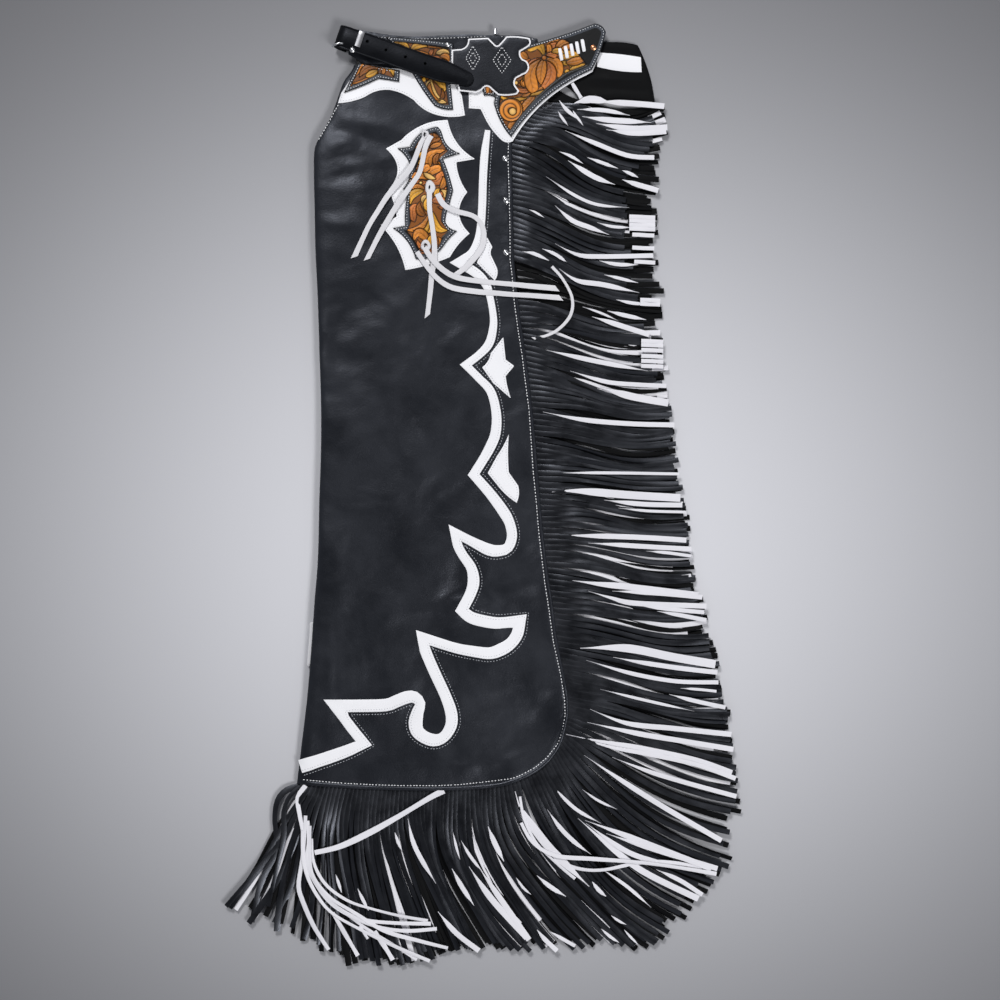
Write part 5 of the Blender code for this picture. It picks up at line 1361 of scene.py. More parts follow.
def make_fringe(layer, place, rows, underside, spacing, width, seed, material, slot):
    rng = random.Random(seed)
    length = sum(0.6 * math.dist(a[:2], b[:2]) + 0.4 * math.dist(a[4:6], b[4:6]) for a, b in zip(rows, rows[1:]))
    count = int(length / spacing) + 1
    top_layer = layer == "fringe_top"
    swing_near, swing_far = FAN_SWING[place]
    drift_mid = wander(rng, count, 5.0) * 4.5
    drift_tip = wander(rng, count, 4.0) * 7.0
    rise_line = wander(rng, count, 3.0)
    tilt_line = wander(rng, count, 3.0)
    bulge_line = wander(rng, count, 7.0)
    bunch_line = wander(rng, count, 6.0)
    from_middle, lifts = gathered(rng, count)
    builder = Builder()
    strip = []
    for i in range(count):
        share = i / (count - 1)
        row = fan_at(rows, share)
        root, tip = np.array(row[0:2]), np.array(row[4:6])
        middle = np.array(row[2:4])
        ahead = (tip - root) / np.linalg.norm(tip - root)
        side = np.array([-ahead[1], ahead[0]])
        inward = root - ahead * (18.0 if place in ("upper_side", "gap_top") else 6.0)
        pull = 2.0 * middle - (root + tip) / 2.0
        reach = (row[6] if top_layer else 1.0) * rng.uniform(0.955, 1.015)
        if i in (0, count - 1):
            reach = min(reach, 1.0)
        if layer == "fringe_white":
            if bunch_line[i] < BUNCH_LIMITS[place]:
                continue
            reach *= rng.choice((1.0, 1.0, 0.97, 0.86))
        t = np.linspace(0.0, 1.0, STRAND_SEGMENTS + 1)
        s = t * reach
        line = np.outer((1 - s) ** 2, root) + np.outer(2 * s * (1 - s), pull) + np.outer(s * s, tip)
        offset = (np.sin(math.pi * s) * (drift_mid[i] + swing_near) + np.sin(2 * math.pi * s) * swing_far
                  + smooth(s * 1.1) * drift_tip[i] * (0.6 if place == "upper_side" else 1.0)
                  + np.sin(3.0 * math.pi * s + rng.uniform(0, 6)) * rng.uniform(0.0, 1.3) * smooth(s * 3))
        onward = np.subtract(fan_at(rows, min(share + 0.01, 1.0))[:2], fan_at(rows, max(share - 0.01, 0.0))[:2])
        way = 1.0 if onward @ side > 0 else -1.0
        offset = offset - way * from_middle[i] * spacing * CLUMPING[layer] * smooth(s * 1.25)
        line = line + np.outer(offset, side)
        line = np.vstack([inward, line])
        s = np.r_[0.0, s]
        widths = np.full(len(s), width * rng.uniform(0.88, 1.04))
        heights = underside + (0.7 + 0.5 * rise_line[i]) * smooth(s * 2) + rng.uniform(0.0, 0.5)
        if layer == "fringe_under":
            heights = heights + rng.choice((0.0, 0.6, 1.6, 2.8)) * smooth(s * 3)
        if top_layer:
            hump = 1.0 + 0.5 * bulge_line[i]
            heights = heights + 2.4 * hump * np.exp(-((s - 0.13) / 0.10) ** 2)
            heights = heights + lifts[i] * smooth(s * 2)
            heights[:2] = underside + 1.0
        heights = heights + 0.5 * np.sin(2 * math.pi * (s * rng.uniform(0.8, 1.8) + rng.random())) * smooth(s * 4)
        tilts = (0.40 * tilt_line[i] + rng.uniform(-0.3, 0.3)) * smooth(s * 2.5)
        tilts = tilts + 0.24 * np.sin(2 * math.pi * (s * rng.uniform(0.5, 1.3) + rng.random())) * smooth(s * 3)
        add_strand(builder, line, widths, heights, tilts)
        strip.append((root, inward, ahead))
    rings = []
    for root, inward, ahead in strip:
        out = root + ahead * 1.5
        back = root - ahead * 9.0
        rings.append([(back[0], back[1], underside), (out[0], out[1], underside),
                      (out[0], out[1], underside + 1.3), (back[0], back[1], underside + 1.3)])
    builder.loft(rings)
    thing = builder.piece("%s_%s_strands" % (layer, place), material, slot, angle=45.0)
    if place in FRINGE_FANS:
        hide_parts("%s_%s" % (layer, place))
    return thing


def make_slivers():
    """White strands that work their way out between the black ones."""
    rng = random.Random(5)
    builder = Builder()
    strands = [(points, width, cut, 0.38) for points, width, cut in WHITE_SLIVERS]
    for rows, left, right in WHITE_ENDS:
        for row in rows:
            strands.append(([(left, row), ((left + right) / 2.0, row + 0.5), (right, row + 1)], 3.8, True, None))
    for points, width, cut, taper in strands:
        line = resampled(smooth_run([at(*p) for p in points], 6.0), 7.0)
        count = len(line)
        t = np.linspace(0.0, 1.0, count)
        shape = smooth(t / taper) * 0.92 + 0.08 if taper else np.ones(count)
        if not cut:
            shape = shape * (smooth((1.0 - t) / 0.35) * 0.92 + 0.08)
        parts = max(1, round(width / 5.6))
        for part in range(parts):
            shift = (part - (parts - 1) / 2.0) * width / parts * PIXEL
            run = np.gradient(line, axis=0)
            side = np.column_stack([-run[:, 1], run[:, 0]]) / np.linalg.norm(run, axis=1)[:, None]
            here = line + side * (shift * shape)[:, None]
            if cut:
                here = here[: count - (part % 2)]
            size = len(here)
            heights = 9.7 + 0.5 * np.sin(2 * math.pi * (t[:size] * 0.8 + rng.random()))
            heights = heights - 1.2 * (1.0 - shape[:size]) + rng.uniform(-0.2, 0.3)
            tilts = 0.12 * np.sin(2 * math.pi * (t[:size] + rng.random()))
            add_strand(builder, here, width / parts * PIXEL * 1.04 * shape[:size], heights, tilts, 1.0)
    return builder.piece("white_slivers", FRINGE_WHITE, "white_leather", angle=45.0)


def make_over(name, table, material, slot, base, seed):
    """Single strands that lie on top of the fringe."""
    rng = random.Random(seed)
    builder = Builder()
    for number, (points, width) in enumerate(table):
        line = resampled(smooth_run([at(*p) for p in points], 5.0), 6.0)
        t = np.linspace(0.0, 1.0, len(line))
        widths = width * PIXEL * (0.9 + 0.12 * np.sin(2 * math.pi * (1.4 * t + rng.random())))
        heights = base + 0.45 * (number % 6) + 0.8 * np.sin(math.pi * t)
        tilts = 0.25 * np.sin(2 * math.pi * (0.9 * t + rng.random()))
        add_strand(builder, line, widths, heights, tilts, 1.1)
    return builder.piece(name, material, slot, angle=45.0)


# laces, strap and hardware

def make_lace(name, rows):
    width = LACE_WIDTHS.get(name, LACE_WIDTH)
    line = resampled(smooth_run(rows, 5.0), 5.0)
    z = np.where(line[:, 0] > 60.0, EDGE_TOP, leg_top(line[:, 0], line[:, 1])) + line[:, 2]
    count = len(line)
    run = np.gradient(line[:, :2], axis=0)
    side = np.column_stack([-run[:, 1], run[:, 0]]) / np.linalg.norm(run, axis=1)[:, None]
    rng = random.Random(sum(map(ord, name)))
    phase = rng.random() * 6.0
    rings = []
    for k in range(count):
        if k == count - 2:
            continue
        t = k / (count - 1)
        half = width / 2.0 * (0.94 + 0.07 * math.sin(9.0 * t + phase))
        tilt = 0.16 * math.sin(6.0 * t + phase) * min(1.0, 6 * t)
        skew = 0.0
        if k == count - 1:
            skew = 0.9
        ring = []
        for across, rise in ((-1, 0.0), (-1, 0.75), (-0.55, 1.0), (0.55, 1.0), (1, 0.75), (1, 0.0)):
            out = across * half
            back = -skew * across * width * 0.5
            ahead = run[k] / np.linalg.norm(run[k])
            ring.append((line[k, 0] + side[k, 0] * out + ahead[0] * back,
                         line[k, 1] + side[k, 1] * out + ahead[1] * back,
                         z[k] + rise * LACE_WALL + 0.4 * tilt * out))
        rings.append(ring)
    builder = Builder()
    builder.loft(rings)
    lace = builder.piece(name + "_strip", LACE, "lace_leather", angle=50.0)
    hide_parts(name)
    return lace


def lathe(name, x, y, z, profile, material, slot, segments=28, turn=None):
    """A turned piece: radius and height of each point of its profile, from the top down."""
    points, faces = [], []
    for radius, height in profile:
        for k in range(segments):
            angle = 2 * math.pi * k / segments
            points.append([radius * math.cos(angle), radius * math.sin(angle), height])
    for r in range(len(profile) - 1):
        for k in range(segments):
            a, b = r * segments + k, r * segments + (k + 1) % segments
            faces.append((a, b, b + segments, a + segments))
    faces.append(tuple(range(segments)))
    faces.append(tuple((len(profile) - 1) * segments + k for k in reversed(range(segments))))
    points = np.array(points)
    if turn is not None:
        points = points @ np.array(turn).T
    return new_piece(name, points + np.array([x, y, z]), faces, material, slot, angle=35.0)


def dome_profile(radius, height):
    """A domed cap with a thin rolled rim."""
    profile = [(0.05, height)]
    for angle in (20, 40, 60, 78):
        a = math.radians(angle)
        profile.append((radius * 0.78 * math.sin(a), height * (0.35 + 0.65 * math.cos(a))))
    profile += [(radius * 0.80, height * 0.40), (radius * 0.92, height * 0.46), (radius, height * 0.28),
                (radius * 0.97, height * 0.05), (radius * 0.9, 0.0)]
    return profile


def strap_frame():
    """Points along the strap's underside, each with how far it reaches past the strap's end, where the tip rounds off.
    """
    start, following = np.array(STRAP_LINE[0], float), np.array(STRAP_LINE[1], float)
    out = (start - following) / np.linalg.norm(start - following)
    top = float(leg_top(*start)) + LIFT_STRAP
    bottom = 0.6 + STRAP_WALL
    radius = (top - bottom) / 2.0
    points = []
    line = resampled(smooth_run(STRAP_LINE, 6.0), 5.0)[::-1]
    tip_run = (line[0] - line[1]) / np.linalg.norm(line[0] - line[1])
    for reach in (7.5, 6.5, 4.5, 2.0):
        spot = line[0] + tip_run * reach
        points.append((spot[0], spot[1], float(leg_top(*line[0])) + LIFT_STRAP, reach))
    for x, y in line:
        points.append((x, y, float(leg_top(x, y)) + LIFT_STRAP, 0.0))
    points.append((start[0] + out[0] * 8.0, start[1] + out[1] * 8.0, top, 0.0))
    for angle in range(0, 181, 15):
        run = 16.0 + STRAP_TURN_RADIUS * math.sin(math.radians(angle))
        height = (top + bottom) / 2.0 + radius * math.cos(math.radians(angle))
        points.append((start[0] + out[0] * run, start[1] + out[1] * run, height, 0.0))
    points.append((start[0] + out[0] * 12.0, start[1] + out[1] * 12.0, bottom, 0.0))
    return points


def make_strap():
    points = strap_frame()
    ahead = np.array(STRAP_AHEAD)
    side = np.array([ahead[1], -ahead[0]])
    rings = []
    for i, here in enumerate(points):
        before, after = points[max(i - 1, 0)], points[min(i + 1, len(points) - 1)]
        run = np.array(after[:3]) - np.array(before[:3])
        flat = run[0] * ahead[0] + run[1] * ahead[1]
        size = math.hypot(flat, run[2])
        up_flat, up_z = run[2] / size, -flat / size
        along = math.dist(here[:2], points[0][:2])
        half = STRAP_WIDTH / 2.0 * (0.62 + 0.38 * float(smooth(min(1.0, along / STRAP_TAPER))))
        if here[3] > 0:
            half *= math.sqrt(max(0.05, 1.0 - (here[3] / 7.8) ** 2))
        ring = []
        for across, rise in ((1, 0.2), (0.97, 0), (-0.97, 0), (-1, 0.2), (-1, 0.75), (-0.95, 1.0),
                             (-0.86, 1.02), (-0.83, 0.93), (-0.8, 1.02), (0, 1.08), (0.8, 1.02), (0.83, 0.93),
                             (0.86, 1.02), (0.95, 1.0), (1, 0.75)):
            ring.append((here[0] + side[0] * half * across + ahead[0] * up_flat * STRAP_WALL * rise,
                         here[1] + side[1] * half * across + ahead[1] * up_flat * STRAP_WALL * rise,
                         here[2] + up_z * STRAP_WALL * rise))
        rings.append(ring)
    builder = Builder()
    builder.loft(rings)
    strap = builder.piece("waist_strap", STRAP_BLACK, "black_leather", angle=40.0)
    cutters = []
    for px, py in STRAP_HOLES_PX[:4]:
        x, y = at(px, py)
        bm = bmesh.new()
        bmesh.ops.create_cone(bm, cap_ends=True, segments=20, radius1=1.9 * MM, radius2=1.9 * MM,
                              depth=20 * MM)
        mesh = bpy.data.meshes.new("hole")
        bm.to_mesh(mesh)
        bm.free()
        cutter = bpy.data.objects.new("hole", mesh)
        cutter.location = (x * MM, y * MM, float(leg_top(x, y) + LIFT_STRAP) * MM)
        bpy.context.scene.collection.objects.link(cutter)
        cut = strap.modifiers.new("hole", "BOOLEAN")
        cut.operation = "DIFFERENCE"
        cut.solver = "EXACT"
        cut.object = cutter
        cutters.append(cutter)
    bpy.context.view_layer.update()
    made = bpy.data.meshes.new_from_object(strap.evaluated_get(bpy.context.evaluated_depsgraph_get()))
    strap.modifiers.clear()
    strap.data = made
    made.set_sharp_from_angle(angle=math.radians(40))
    for cutter in cutters:
        bpy.data.objects.remove(cutter, do_unlink=True)
    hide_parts("strap")
    return strap


def bent_plate(name, sections, thickness, material, slot):
    """A thin plate through rows of points, with a thickness upwards."""
    rows = np.array(sections, float)
    count_rows, columns = rows.shape[:2]
    upper = rows + np.array([0.0, 0.0, thickness])
    points = np.vstack([upper.reshape(-1, 3), rows.reshape(-1, 3)])
    offset = count_rows * columns
    faces = []
    for r in range(count_rows - 1):
        for c in range(columns - 1):
            a = r * columns + c
            faces.append((a, a + 1, a + columns + 1, a + columns))
            faces.append((offset + a + columns, offset + a + columns + 1, offset + a + 1, offset + a))
    rim = [(0, c) for c in range(columns)] + [(r, columns - 1) for r in range(1, count_rows)]
    rim += [(count_rows - 1, c) for c in range(columns - 2, -1, -1)]
    rim += [(r, 0) for r in range(count_rows - 2, 0, -1)]
    for (r1, c1), (r2, c2) in zip(rim, rim[1:] + rim[:1]):
        a, b = r1 * columns + c1, r2 * columns + c2
        faces.append((a, b, offset + b, offset + a))
    return new_piece(name, points, faces, material, slot, angle=40.0)


def tube(builder, line, radius, sides=10):
    """A round bar along a line of points in space."""
    line = np.asarray(line, float)
    run = np.gradient(line, axis=0)
    rings = []
    for k in range(len(line)):
        ahead = run[k] / np.linalg.norm(run[k])
        across = np.cross(ahead, (0.0, 0.0, 1.0))
        if np.linalg.norm(across) < 1e-3:
            across = np.array([1.0, 0.0, 0.0])
        across = across / np.linalg.norm(across)
        up = np.cross(across, ahead)
        rings.append([tuple(line[k] + radius * (math.cos(a) * across + math.sin(a) * up))
                      for a in np.linspace(0, 2 * math.pi, sides, endpoint=False)])
    builder.loft(rings)


# build the pieces

panel = make_panel()
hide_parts("upper_leg")

band, band_left, band_right = make_band()
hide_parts("white_band")

for name, rows in (("scroll_leaf_upper", SCROLL_LEAF_UPPER), ("scroll_star", SCROLL_STAR),
                   ("scroll_leaf_lower", SCROLL_LEAF_LOWER)):
    shape = patch(name + "_cut", outline_points(rows), LIFT_FIRST, 1.0, 1.3, WHITE, "white_leather", puff=0.35)
    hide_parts(name)

for name, rows, node_name in (("thigh_white", THIGH_WHITE, "thigh_patch_white"),
                              ("yoke_left_underlay", YOKE_LEFT_WHITE, "yoke_left_white"),
                              ("yoke_right_underlay", WING_WHITE, "yoke_right_white")):
    shape = patch(name, outline_points(rows), LIFT_FIRST, APPLIQUE_WALL, 1.5, WHITE, "white_leather", puff=0.15)
    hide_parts(node_name)

for name, border, carving, motifs, nodes in (
        ("thigh_carving", THIGH_BORDER, THIGH_CARVED, THIGH_MOTIFS, ("thigh_patch_border", "thigh_patch_carved")),
        ("lobe_a_carving", LOBE_A_BORDER, LOBE_A_CARVED, LOBE_A_MOTIFS,
         ("yoke_lobe_a_border", "yoke_lobe_a_carved")),
        ("lobe_b_carving", LOBE_B_BORDER, LOBE_B_CARVED, LOBE_B_MOTIFS,
         ("yoke_lobe_b_border", "yoke_lobe_b_carved")),
        ("wing_carving", WING_BORDER, WING_CARVED, WING_MOTIFS, ("yoke_right_border", "yoke_right_carved")),
        ("tab_carving", TAB_BORDER, TAB_CARVED, TAB_MOTIFS, ()),
        ("belt_carving", BELT_BORDER, BELT_CARVED, BELT_MOTIFS, ("belt_carved_strip",))):
    lift = LIFT_SECOND if name != "belt_carving" else LIFT_FIRST
    shape = patch(name, outline_points(border), lift, 2.2, 0.7, CARVED, "carved_leather",
                  relief=carved_relief(motifs, outline_points(carving), 1.3 if name == "thigh_carving" else 1.0))
    if nodes:
        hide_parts(*nodes)

belt = patch("belt", outline_points(BELT_BAND), -PANEL_WALL, PANEL_WALL, 1.6, BLACK, "black_leather",
             surface=flat_top, puff=0.3)
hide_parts("belt_band")
centre = outline_points(CENTRE_PATCH, 2.0)
piping = patch("centre_trim", grown(centre, 2.0), LIFT_FOURTH, 1.5, 1.0, WHITE, "white_leather")
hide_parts("centre_piping")
plate = patch("centre_leather", centre, LIFT_FIFTH, 1.3, 1.2, PLATE_BLACK, "black_leather", puff=0.3)
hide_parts("centre_patch")


def lower_surface(x, y):
    """The lower leg's yoke, which lies on the floor with a fold below its band."""
    return fold_sum(LOWER_FOLDS, x, y)


# The lower yoke lies under the fold and takes the darker copy of the fringe leather: painted shade.
under_yoke = patch("lower_yoke_leather", outline_points(LOWER_YOKE), 0.4, 4.4, 2.0, SHADED_FRINGE_BLACK,
                   "black_leather", surface=lower_surface, puff=0.8)
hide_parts("lower_yoke")
under_band = patch("lower_yoke_trim", outline_points(LOWER_YOKE_BAND), 5.5, 1.4, 1.4, WHITE, "white_leather",
                   surface=lower_surface, puff=0.3)
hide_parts("lower_yoke_band")

strap = make_strap()

laces = [make_lace(name, rows) for name, rows in LACES.items()]

# The lowest fringe layer and the strands that close the gaps take the darker copy of the fringe leather: painted shade
# for the buried layers.
for layer, underside, spacing, width, seed in FRINGE_LAYERS:
    white = layer == "fringe_white"
    before = None
    for number, (place, rows) in enumerate(FRINGE_FANS.items()):
        if place in ("corner", "hem"):
            rows = [blend(rows[0], before, 0.6)] + rows
        before = rows[-1]
        make_fringe(layer, place, rows, underside, spacing, width, seed + number,
                                   FRINGE_WHITE if white else SHADED_FRINGE_BLACK if layer == "fringe_under" else FRINGE_BLACK,
                                   "white_leather" if white else "black_leather")
for number, (place, rows) in enumerate(GAP_FANS.items()):
    make_fringe("fringe_under", place, rows, 0.9, 6.0, 7.2, 91 + number, SHADED_FRINGE_BLACK,
                               "black_leather")
make_slivers()
make_over("white_loose_strands", WHITE_OVER, FRINGE_WHITE, "white_leather", 9.0, 3)
make_over("black_loose_strands", BLACK_OVER, FRINGE_BLACK, "black_leather", 5.2, 4)

# stitching
rng = random.Random(2)
seam = Builder()
stitches(seam, [at(*p) for p in SEAM_STITCH_PX], 4.0, 2.9, 1.3, 0.15, rng=rng)
stitches(seam, [at(*p) for p in FOLD_STITCH_PX], 4.0, 2.9, 1.3, 0.4, rng=rng)
seam.piece("seam_stitching", THREAD, "lace_leather", angle=80.0)

span = band_right - band_left
width = np.linalg.norm(span, axis=1)[:, None]
faint = Builder()
stitches(faint, resampled(band_left - span / width * 3.4, 3.0), 3.8, 2.6, 1.1, 0.2, rng=rng)
stitches(faint, resampled(band_left + span / width * 3.0, 3.0), 3.4, 2.4, 0.8, LIFT_FIRST + 1.35, rng=rng)
for rows in (THIGH_WHITE, YOKE_LEFT_WHITE, WING_WHITE, SCROLL_STAR, SCROLL_LEAF_UPPER, SCROLL_LEAF_LOWER):
    stitches(faint, grown(outline_points(rows), -2.4), 3.4, 2.2, 0.7, LIFT_FIRST + 1.35, closed=True, rng=rng)
faint.piece("white_edge_stitching", DULL_THREAD, "lace_leather", angle=80.0)

edge_rows = Builder()
for rows, lift in ((THIGH_BORDER, LIFT_SECOND), (LOBE_A_BORDER, LIFT_SECOND), (LOBE_B_BORDER, LIFT_SECOND),
                   (WING_BORDER, LIFT_SECOND), (BELT_BORDER, LIFT_FIRST), (TAB_BORDER, LIFT_SECOND)):
    stitches(edge_rows, grown(outline_points(rows), -2.4), 3.4, 2.3, 1.15, lift + 2.45, closed=True, rng=rng)
stitches(edge_rows, [at(345, 32), at(380, 38.5), at(420, 40), at(470, 38), at(486, 37)], 4.2, 2.6, 0.9, 0.6,
         surface=flat_top, rng=rng)
stitches(edge_rows, [at(500, 37.5), at(522, 38.5), at(534, 40)], 4.2, 2.6, 0.9, 0.6, surface=flat_top, rng=rng)
stitches(edge_rows, [at(632, 47), at(640, 55), at(646, 75), at(650, 97)], 4.2, 2.6, 1.0, 5.0,
         surface=lower_surface, rng=rng)
edge_rows.piece("border_stitching", THREAD, "lace_leather", angle=80.0)

# stitched lozenges on the centre patch
lozenge = Builder()
for centre_px, half_x, half_y in (((473, 60), 7, 12), ((502, 62), 9, 13)):
    for size in (1.0, 0.5):
        corners = [at(centre_px[0] + dx * half_x * size, centre_px[1] + dy * half_y * size)
                   for dx, dy in ((0, -1), (1, 0), (0, 1), (-1, 0))]
        stitches(lozenge, corners, 3.4, 2.4, 1.2, LIFT_FIFTH + 1.75, closed=True)
lozenge.piece("patch_stitching", THREAD, "lace_leather", angle=80.0)

# slanted lacing on the wing
lacing = Builder()
for number in range(5):
    middle = np.array(at(560.5 + 5.6 * number, 55.6 - 2.2 * number))
    way = np.array([math.cos(math.radians(100)), math.sin(math.radians(100))])
    line = [middle + way * run for run in (-8.0, -7.0, -3.5, 0.0, 3.5, 7.0, 8.0)]
    heights = leg_top(np.array(line)[:, 0], np.array(line)[:, 1]) + LIFT_SECOND + 2.6
    heights = heights + np.array([-0.8, 0.0, 0.5, 0.7, 0.5, 0.0, -0.8])
    add_strand(lacing, line, np.array([3.0, 4.0, 4.3, 4.4, 4.3, 4.0, 3.0]), heights, np.zeros(7), 1.0)
lacing.piece("wing_lacing", WHITE, "white_leather", angle=45.0)



def top_near(things, x, y, reach):
    """Height of the highest point of some pieces near a spot."""
    heights = [0.0]
    for thing in things:
        for vertex in thing.data.vertices:
            spot = vertex.co * 1000.0
            if math.dist((spot.x, spot.y), (x, y)) < reach:
                heights.append(spot.z)
    return max(heights)


# loops of lace, each with a black lens of painted shade in the slit that the lace is knotted through
for number, (px, py, half_x, half_y, lift) in enumerate(
        ((425.5, 136, 3.6, 4.6, 5.0), (430.3, 188.5, 5.0, 7.0, 4.4), (426, 246.5, 5.0, 5.6, 4.6)), start=1):
    loop = Builder()
    x0, y0 = at(px, py)
    base = float(leg_top(x0, y0)) + lift
    rings = []
    for angle in np.linspace(0, 2 * math.pi, 29)[:-1]:
        ring = []
        wobble = 1.0 + 0.06 * math.sin(3 * angle + number)
        for part, rise in ((0.30, 0.3), (0.36, 1.5), (0.6, 2.1), (0.88, 1.6), (1.0, 0.4), (0.9, 0.0), (0.5, 0.0)):
            ring.append((x0 + math.cos(angle) * half_x * PIXEL * part * wobble,
                         y0 + math.sin(angle) * half_y * PIXEL * part * wobble, base + rise))
        rings.append(ring)
    rings.append(rings[0])
    loop.loft(rings, closed_ends=False)
    ring_piece = loop.piece("lace_loop_%d" % number, LACE, "lace_leather", angle=50.0)
    top = top_near(laces + [ring_piece], x0, y0, 7.0)
    # a black lens laid on the knot: painted shade in the slit
    slit_shade = Builder()
    lens = [(x0 - 0.8 + 1.0 * math.cos(a) + 0.5 * math.sin(a), y0 + 2.7 * math.sin(a))
            for a in np.linspace(0, 2 * math.pi, 15)[:-1]]
    slit_shade.loft([[(x, y, height) for x, y in lens] for height in (top - 1.2, top + 0.12)])
    slit_shade.piece("lace_slit_shade_%d" % number, STRAP_BLACK, "black_leather", angle=50.0)

# edge of the lower leg's white band, showing beyond the fold
sliver = patch("lower_band_edge", np.array([at(*p) for p in (
    (309.8, 623), (313.8, 622), (314.6, 640), (312.0, 658), (308.8, 667), (307.0, 665), (308.0, 650),
    (309.4, 636))]), 3.0, 1.0, 0.9, WHITE, "white_leather", surface=lambda x, y: np.zeros(np.shape(x)))

# hardware
strap_top = float(leg_top(*STRAP_LINE[0])) + LIFT_STRAP + STRAP_WALL
ahead = np.array(STRAP_AHEAD)
across = np.array([-STRAP_AHEAD[1], STRAP_AHEAD[0]])
keeper_top = float(leg_top(*KEEPER_PLACE)) + LIFT_STRAP + STRAP_WALL + 0.7
edge = STRAP_WIDTH / 2.0 + 0.6
sections = []
for run in np.linspace(-3.6, 3.6, 7):
    row = []
    crown = 0.5 * (1.0 - (run / 3.6) ** 2)
    for out, drop in ((-6.0, 0.0), (-3.0, 0.0), (2.0, 0.0), (6.0, 0.0), (10.0, 0.0), (edge - 1.0, 0.1),
                      (edge + 0.4, 0.7), (edge + 1.2, 2.2), (edge + 1.4, 5.0)):
        spot = np.array(KEEPER_PLACE) + ahead * run + across * out
        row.append((spot[0], spot[1], keeper_top - drop + crown))
    sections.append(row)
keeper = bent_plate("keeper_plate", sections, 0.9, DARK_STEEL, "steel")
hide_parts("strap_keeper")

bar = Builder()
height = strap_top + 1.7
tube(bar, [(*at(333, 49), height - 2.0), (*at(336, 47.5), height), (*at(340, 46), height), (*at(344, 46.5), height - 0.4)],
     1.3)
buckle = bar.piece("buckle_bar", STEEL, "steel")
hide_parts("strap_buckle")

rivet = lathe("strap_stud", *at(353.3, 52.8), strap_top + 0.1, dome_profile(3.4, 2.4), STEEL, "steel")
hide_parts("strap_rivet")
spot = at(593, 48.8)
rivet = lathe("wing_stud", *spot, float(leg_top(*spot)) + LIFT_THIRD + 0.6, dome_profile(3.7, 2.2), COPPER, "steel")
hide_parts("wing_rivet")
for number, (px, py) in enumerate(((505, 159), (506, 201), (506, 253)), start=1):
    spot = at(px, py)
    snap = lathe("snap_cap_%d" % number, *spot, float(leg_top(*spot)) + 0.1, dome_profile(3.8, 2.6), STEEL, "steel")
    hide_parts("snap_%d" % number)
spot = at(447.5, 45.8)
lathe("belt_stud", *spot, float(leg_top(*spot)) + LIFT_FIRST + 2.3, dome_profile(3.0, 2.0), STEEL, "steel")
pin_turn = ((1, 0, 0), (0, 0, 1), (0, -1, 0))
pin = lathe("belt_post", 16, 588.0, float(flat_top(16, 588)) - 1.2,
            [(0.3, 9.0), (1.6, 8.8), (2.3, 8.0), (2.5, 6.5), (2.6, 3.5), (3.2, 2.2), (3.3, 0.6), (3.2, 0.0)],
            STEEL, "steel", turn=pin_turn)
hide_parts("belt_pin")

# the hidden layers keep their solid, with leather on it
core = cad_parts["folded_layers"]
core.data.materials.clear()
core.data.materials.append(INNER)
for face in core.data.polygons:
    face.material_index = 0

# stage
floor_mesh = bpy.data.meshes.new("floor")
reach = 6.0
floor_mesh.from_pydata([(-reach, -reach, 0), (reach, -reach, 0), (reach, reach, 0), (-reach, reach, 0)], [],
                       [(0, 1, 2, 3)])
floor = bpy.data.objects.new("floor", floor_mesh)
bpy.context.scene.collection.objects.link(floor)
# The floor's colour is a painted pool of light: bright round a spot near the middle, fading to dark further out.
paper = bpy.data.materials.new("floor")
paper.use_nodes = True
tree = paper.node_tree
place = node(tree, "ShaderNodeTexCoord")
shift = node(tree, "ShaderNodeMapping")
shift.inputs["Location"].default_value = (-0.05 / 0.75, 0.06 / 0.61, 0.0)
shift.inputs["Scale"].default_value = (1.0 / 0.75, 1.0 / 0.61, 1.0)
reach_out = node(tree, "ShaderNodeVectorMath", operation="LENGTH")
square = node(tree, "ShaderNodeMath", operation="POWER")
square.inputs[1].default_value = 2.0
fade = node(tree, "ShaderNodeMath", operation="MULTIPLY")
fade.inputs[1].default_value = -1.0
painted_falloff = node(tree, "ShaderNodeMath", operation="EXPONENT")
painted_light_pool = node(tree, "ShaderNodeMix", data_type="RGBA")
painted_light_pool.inputs["A"].default_value = (0.08, 0.08, 0.085, 1.0)
painted_light_pool.inputs["B"].default_value = (0.68, 0.68, 0.715, 1.0)
tree.links.new(place.outputs["Object"], shift.inputs["Vector"])
tree.links.new(shift.outputs["Vector"], reach_out.inputs[0])
tree.links.new(reach_out.outputs["Value"], square.inputs[0])
tree.links.new(square.outputs["Value"], fade.inputs[0])
tree.links.new(fade.outputs["Value"], painted_falloff.inputs[0])
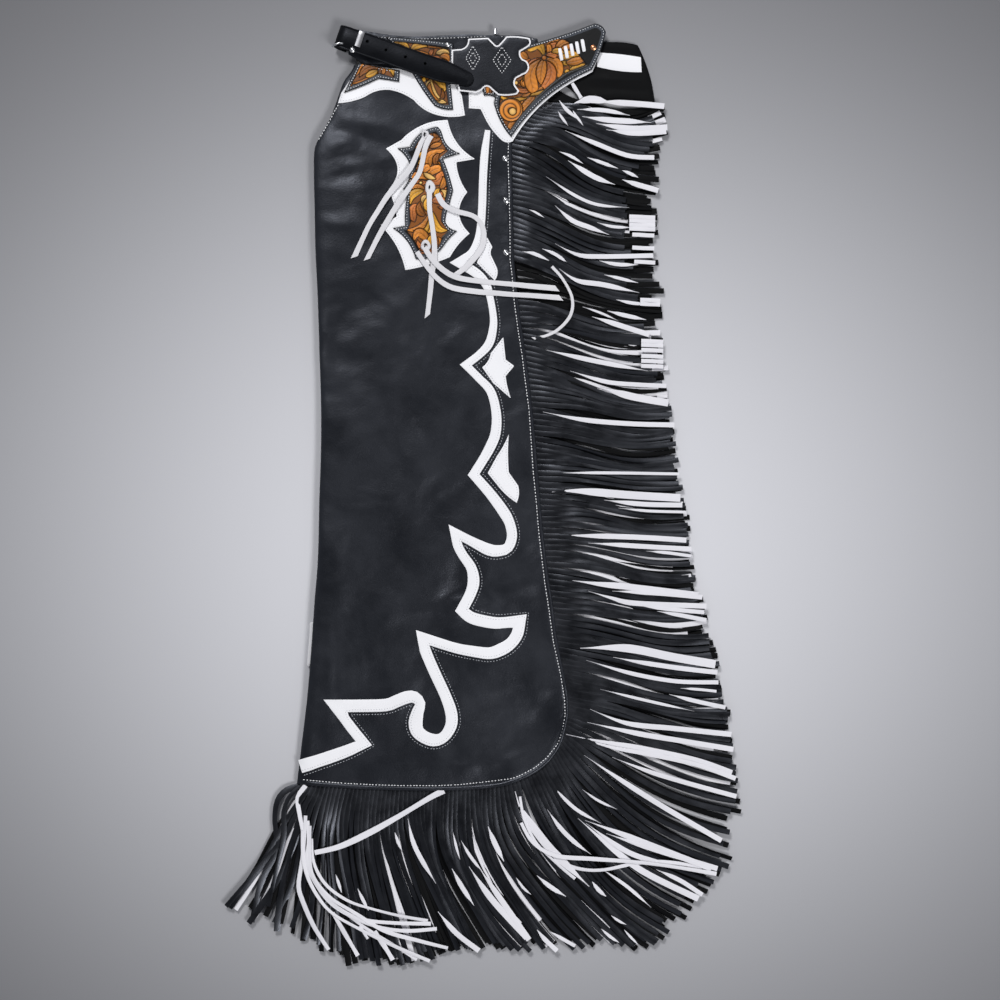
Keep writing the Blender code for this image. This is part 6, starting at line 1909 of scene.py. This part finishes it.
tree.links.new(painted_falloff.outputs["Value"], painted_light_pool.inputs["Factor"])
tree.links.new(painted_light_pool.outputs["Result"], tree.nodes["Principled BSDF"].inputs["Base Color"])
tree.nodes["Principled BSDF"].inputs["Roughness"].default_value = 0.9
tree.nodes["Principled BSDF"].inputs["Specular IOR Level"].default_value = 0.2
floor.data.materials.append(paper)


def spot_light(name, place, target, cone, radius, power):
    """A large soft spot whose light fades towards the edge of its cone."""
    light = bpy.data.lights.new(name, "SPOT")
    light.energy = power
    light.spot_size = math.radians(cone)
    light.spot_blend = 1.0
    light.shadow_soft_size = radius
    thing = bpy.data.objects.new(name, light)
    thing.location = place
    thing.rotation_euler = (Vector(target) - Vector(place)).to_track_quat("-Z", "Y").to_euler()
    bpy.context.scene.collection.objects.link(thing)


spot_light("key", (-1.30, 3.60, 4.70), (0.0, 0.0, 0.0), 60, 0.75, 880)
spot_light("fill", (2.90, -2.60, 4.60), (0.0, 0.0, 0.0), 60, 1.0, 730)

world = bpy.data.worlds.new("world")
world.use_nodes = True
tree = world.node_tree
toward = node(tree, "ShaderNodeTexCoord")
parts = node(tree, "ShaderNodeSeparateXYZ")
ring = node(tree, "ShaderNodeMapRange")
ring.inputs["From Min"].default_value = 0.55
ring.inputs["From Max"].default_value = 0.95
ring.inputs["To Min"].default_value = 0.40
ring.inputs["To Max"].default_value = 0.035
tree.links.new(toward.outputs["Generated"], parts.inputs["Vector"])
tree.links.new(parts.outputs["Z"], ring.inputs["Value"])
tree.links.new(ring.outputs["Result"], tree.nodes["Background"].inputs["Strength"])
tree.nodes["Background"].inputs["Color"].default_value = (0.88, 0.92, 1.0, 1.0)
bpy.context.scene.world = world
bpy.context.scene.view_settings.view_transform = "Standard"

camera_data = bpy.data.cameras.new("camera")
camera_data.sensor_width = 36.0
camera_data.lens = 36.0 * 3.0 / 1.28
camera = bpy.data.objects.new("camera", camera_data)
camera.location = (at(500, 500)[0] * MM, at(500, 500)[1] * MM, 3.005)
bpy.context.scene.collection.objects.link(camera)
bpy.context.scene.camera = camera
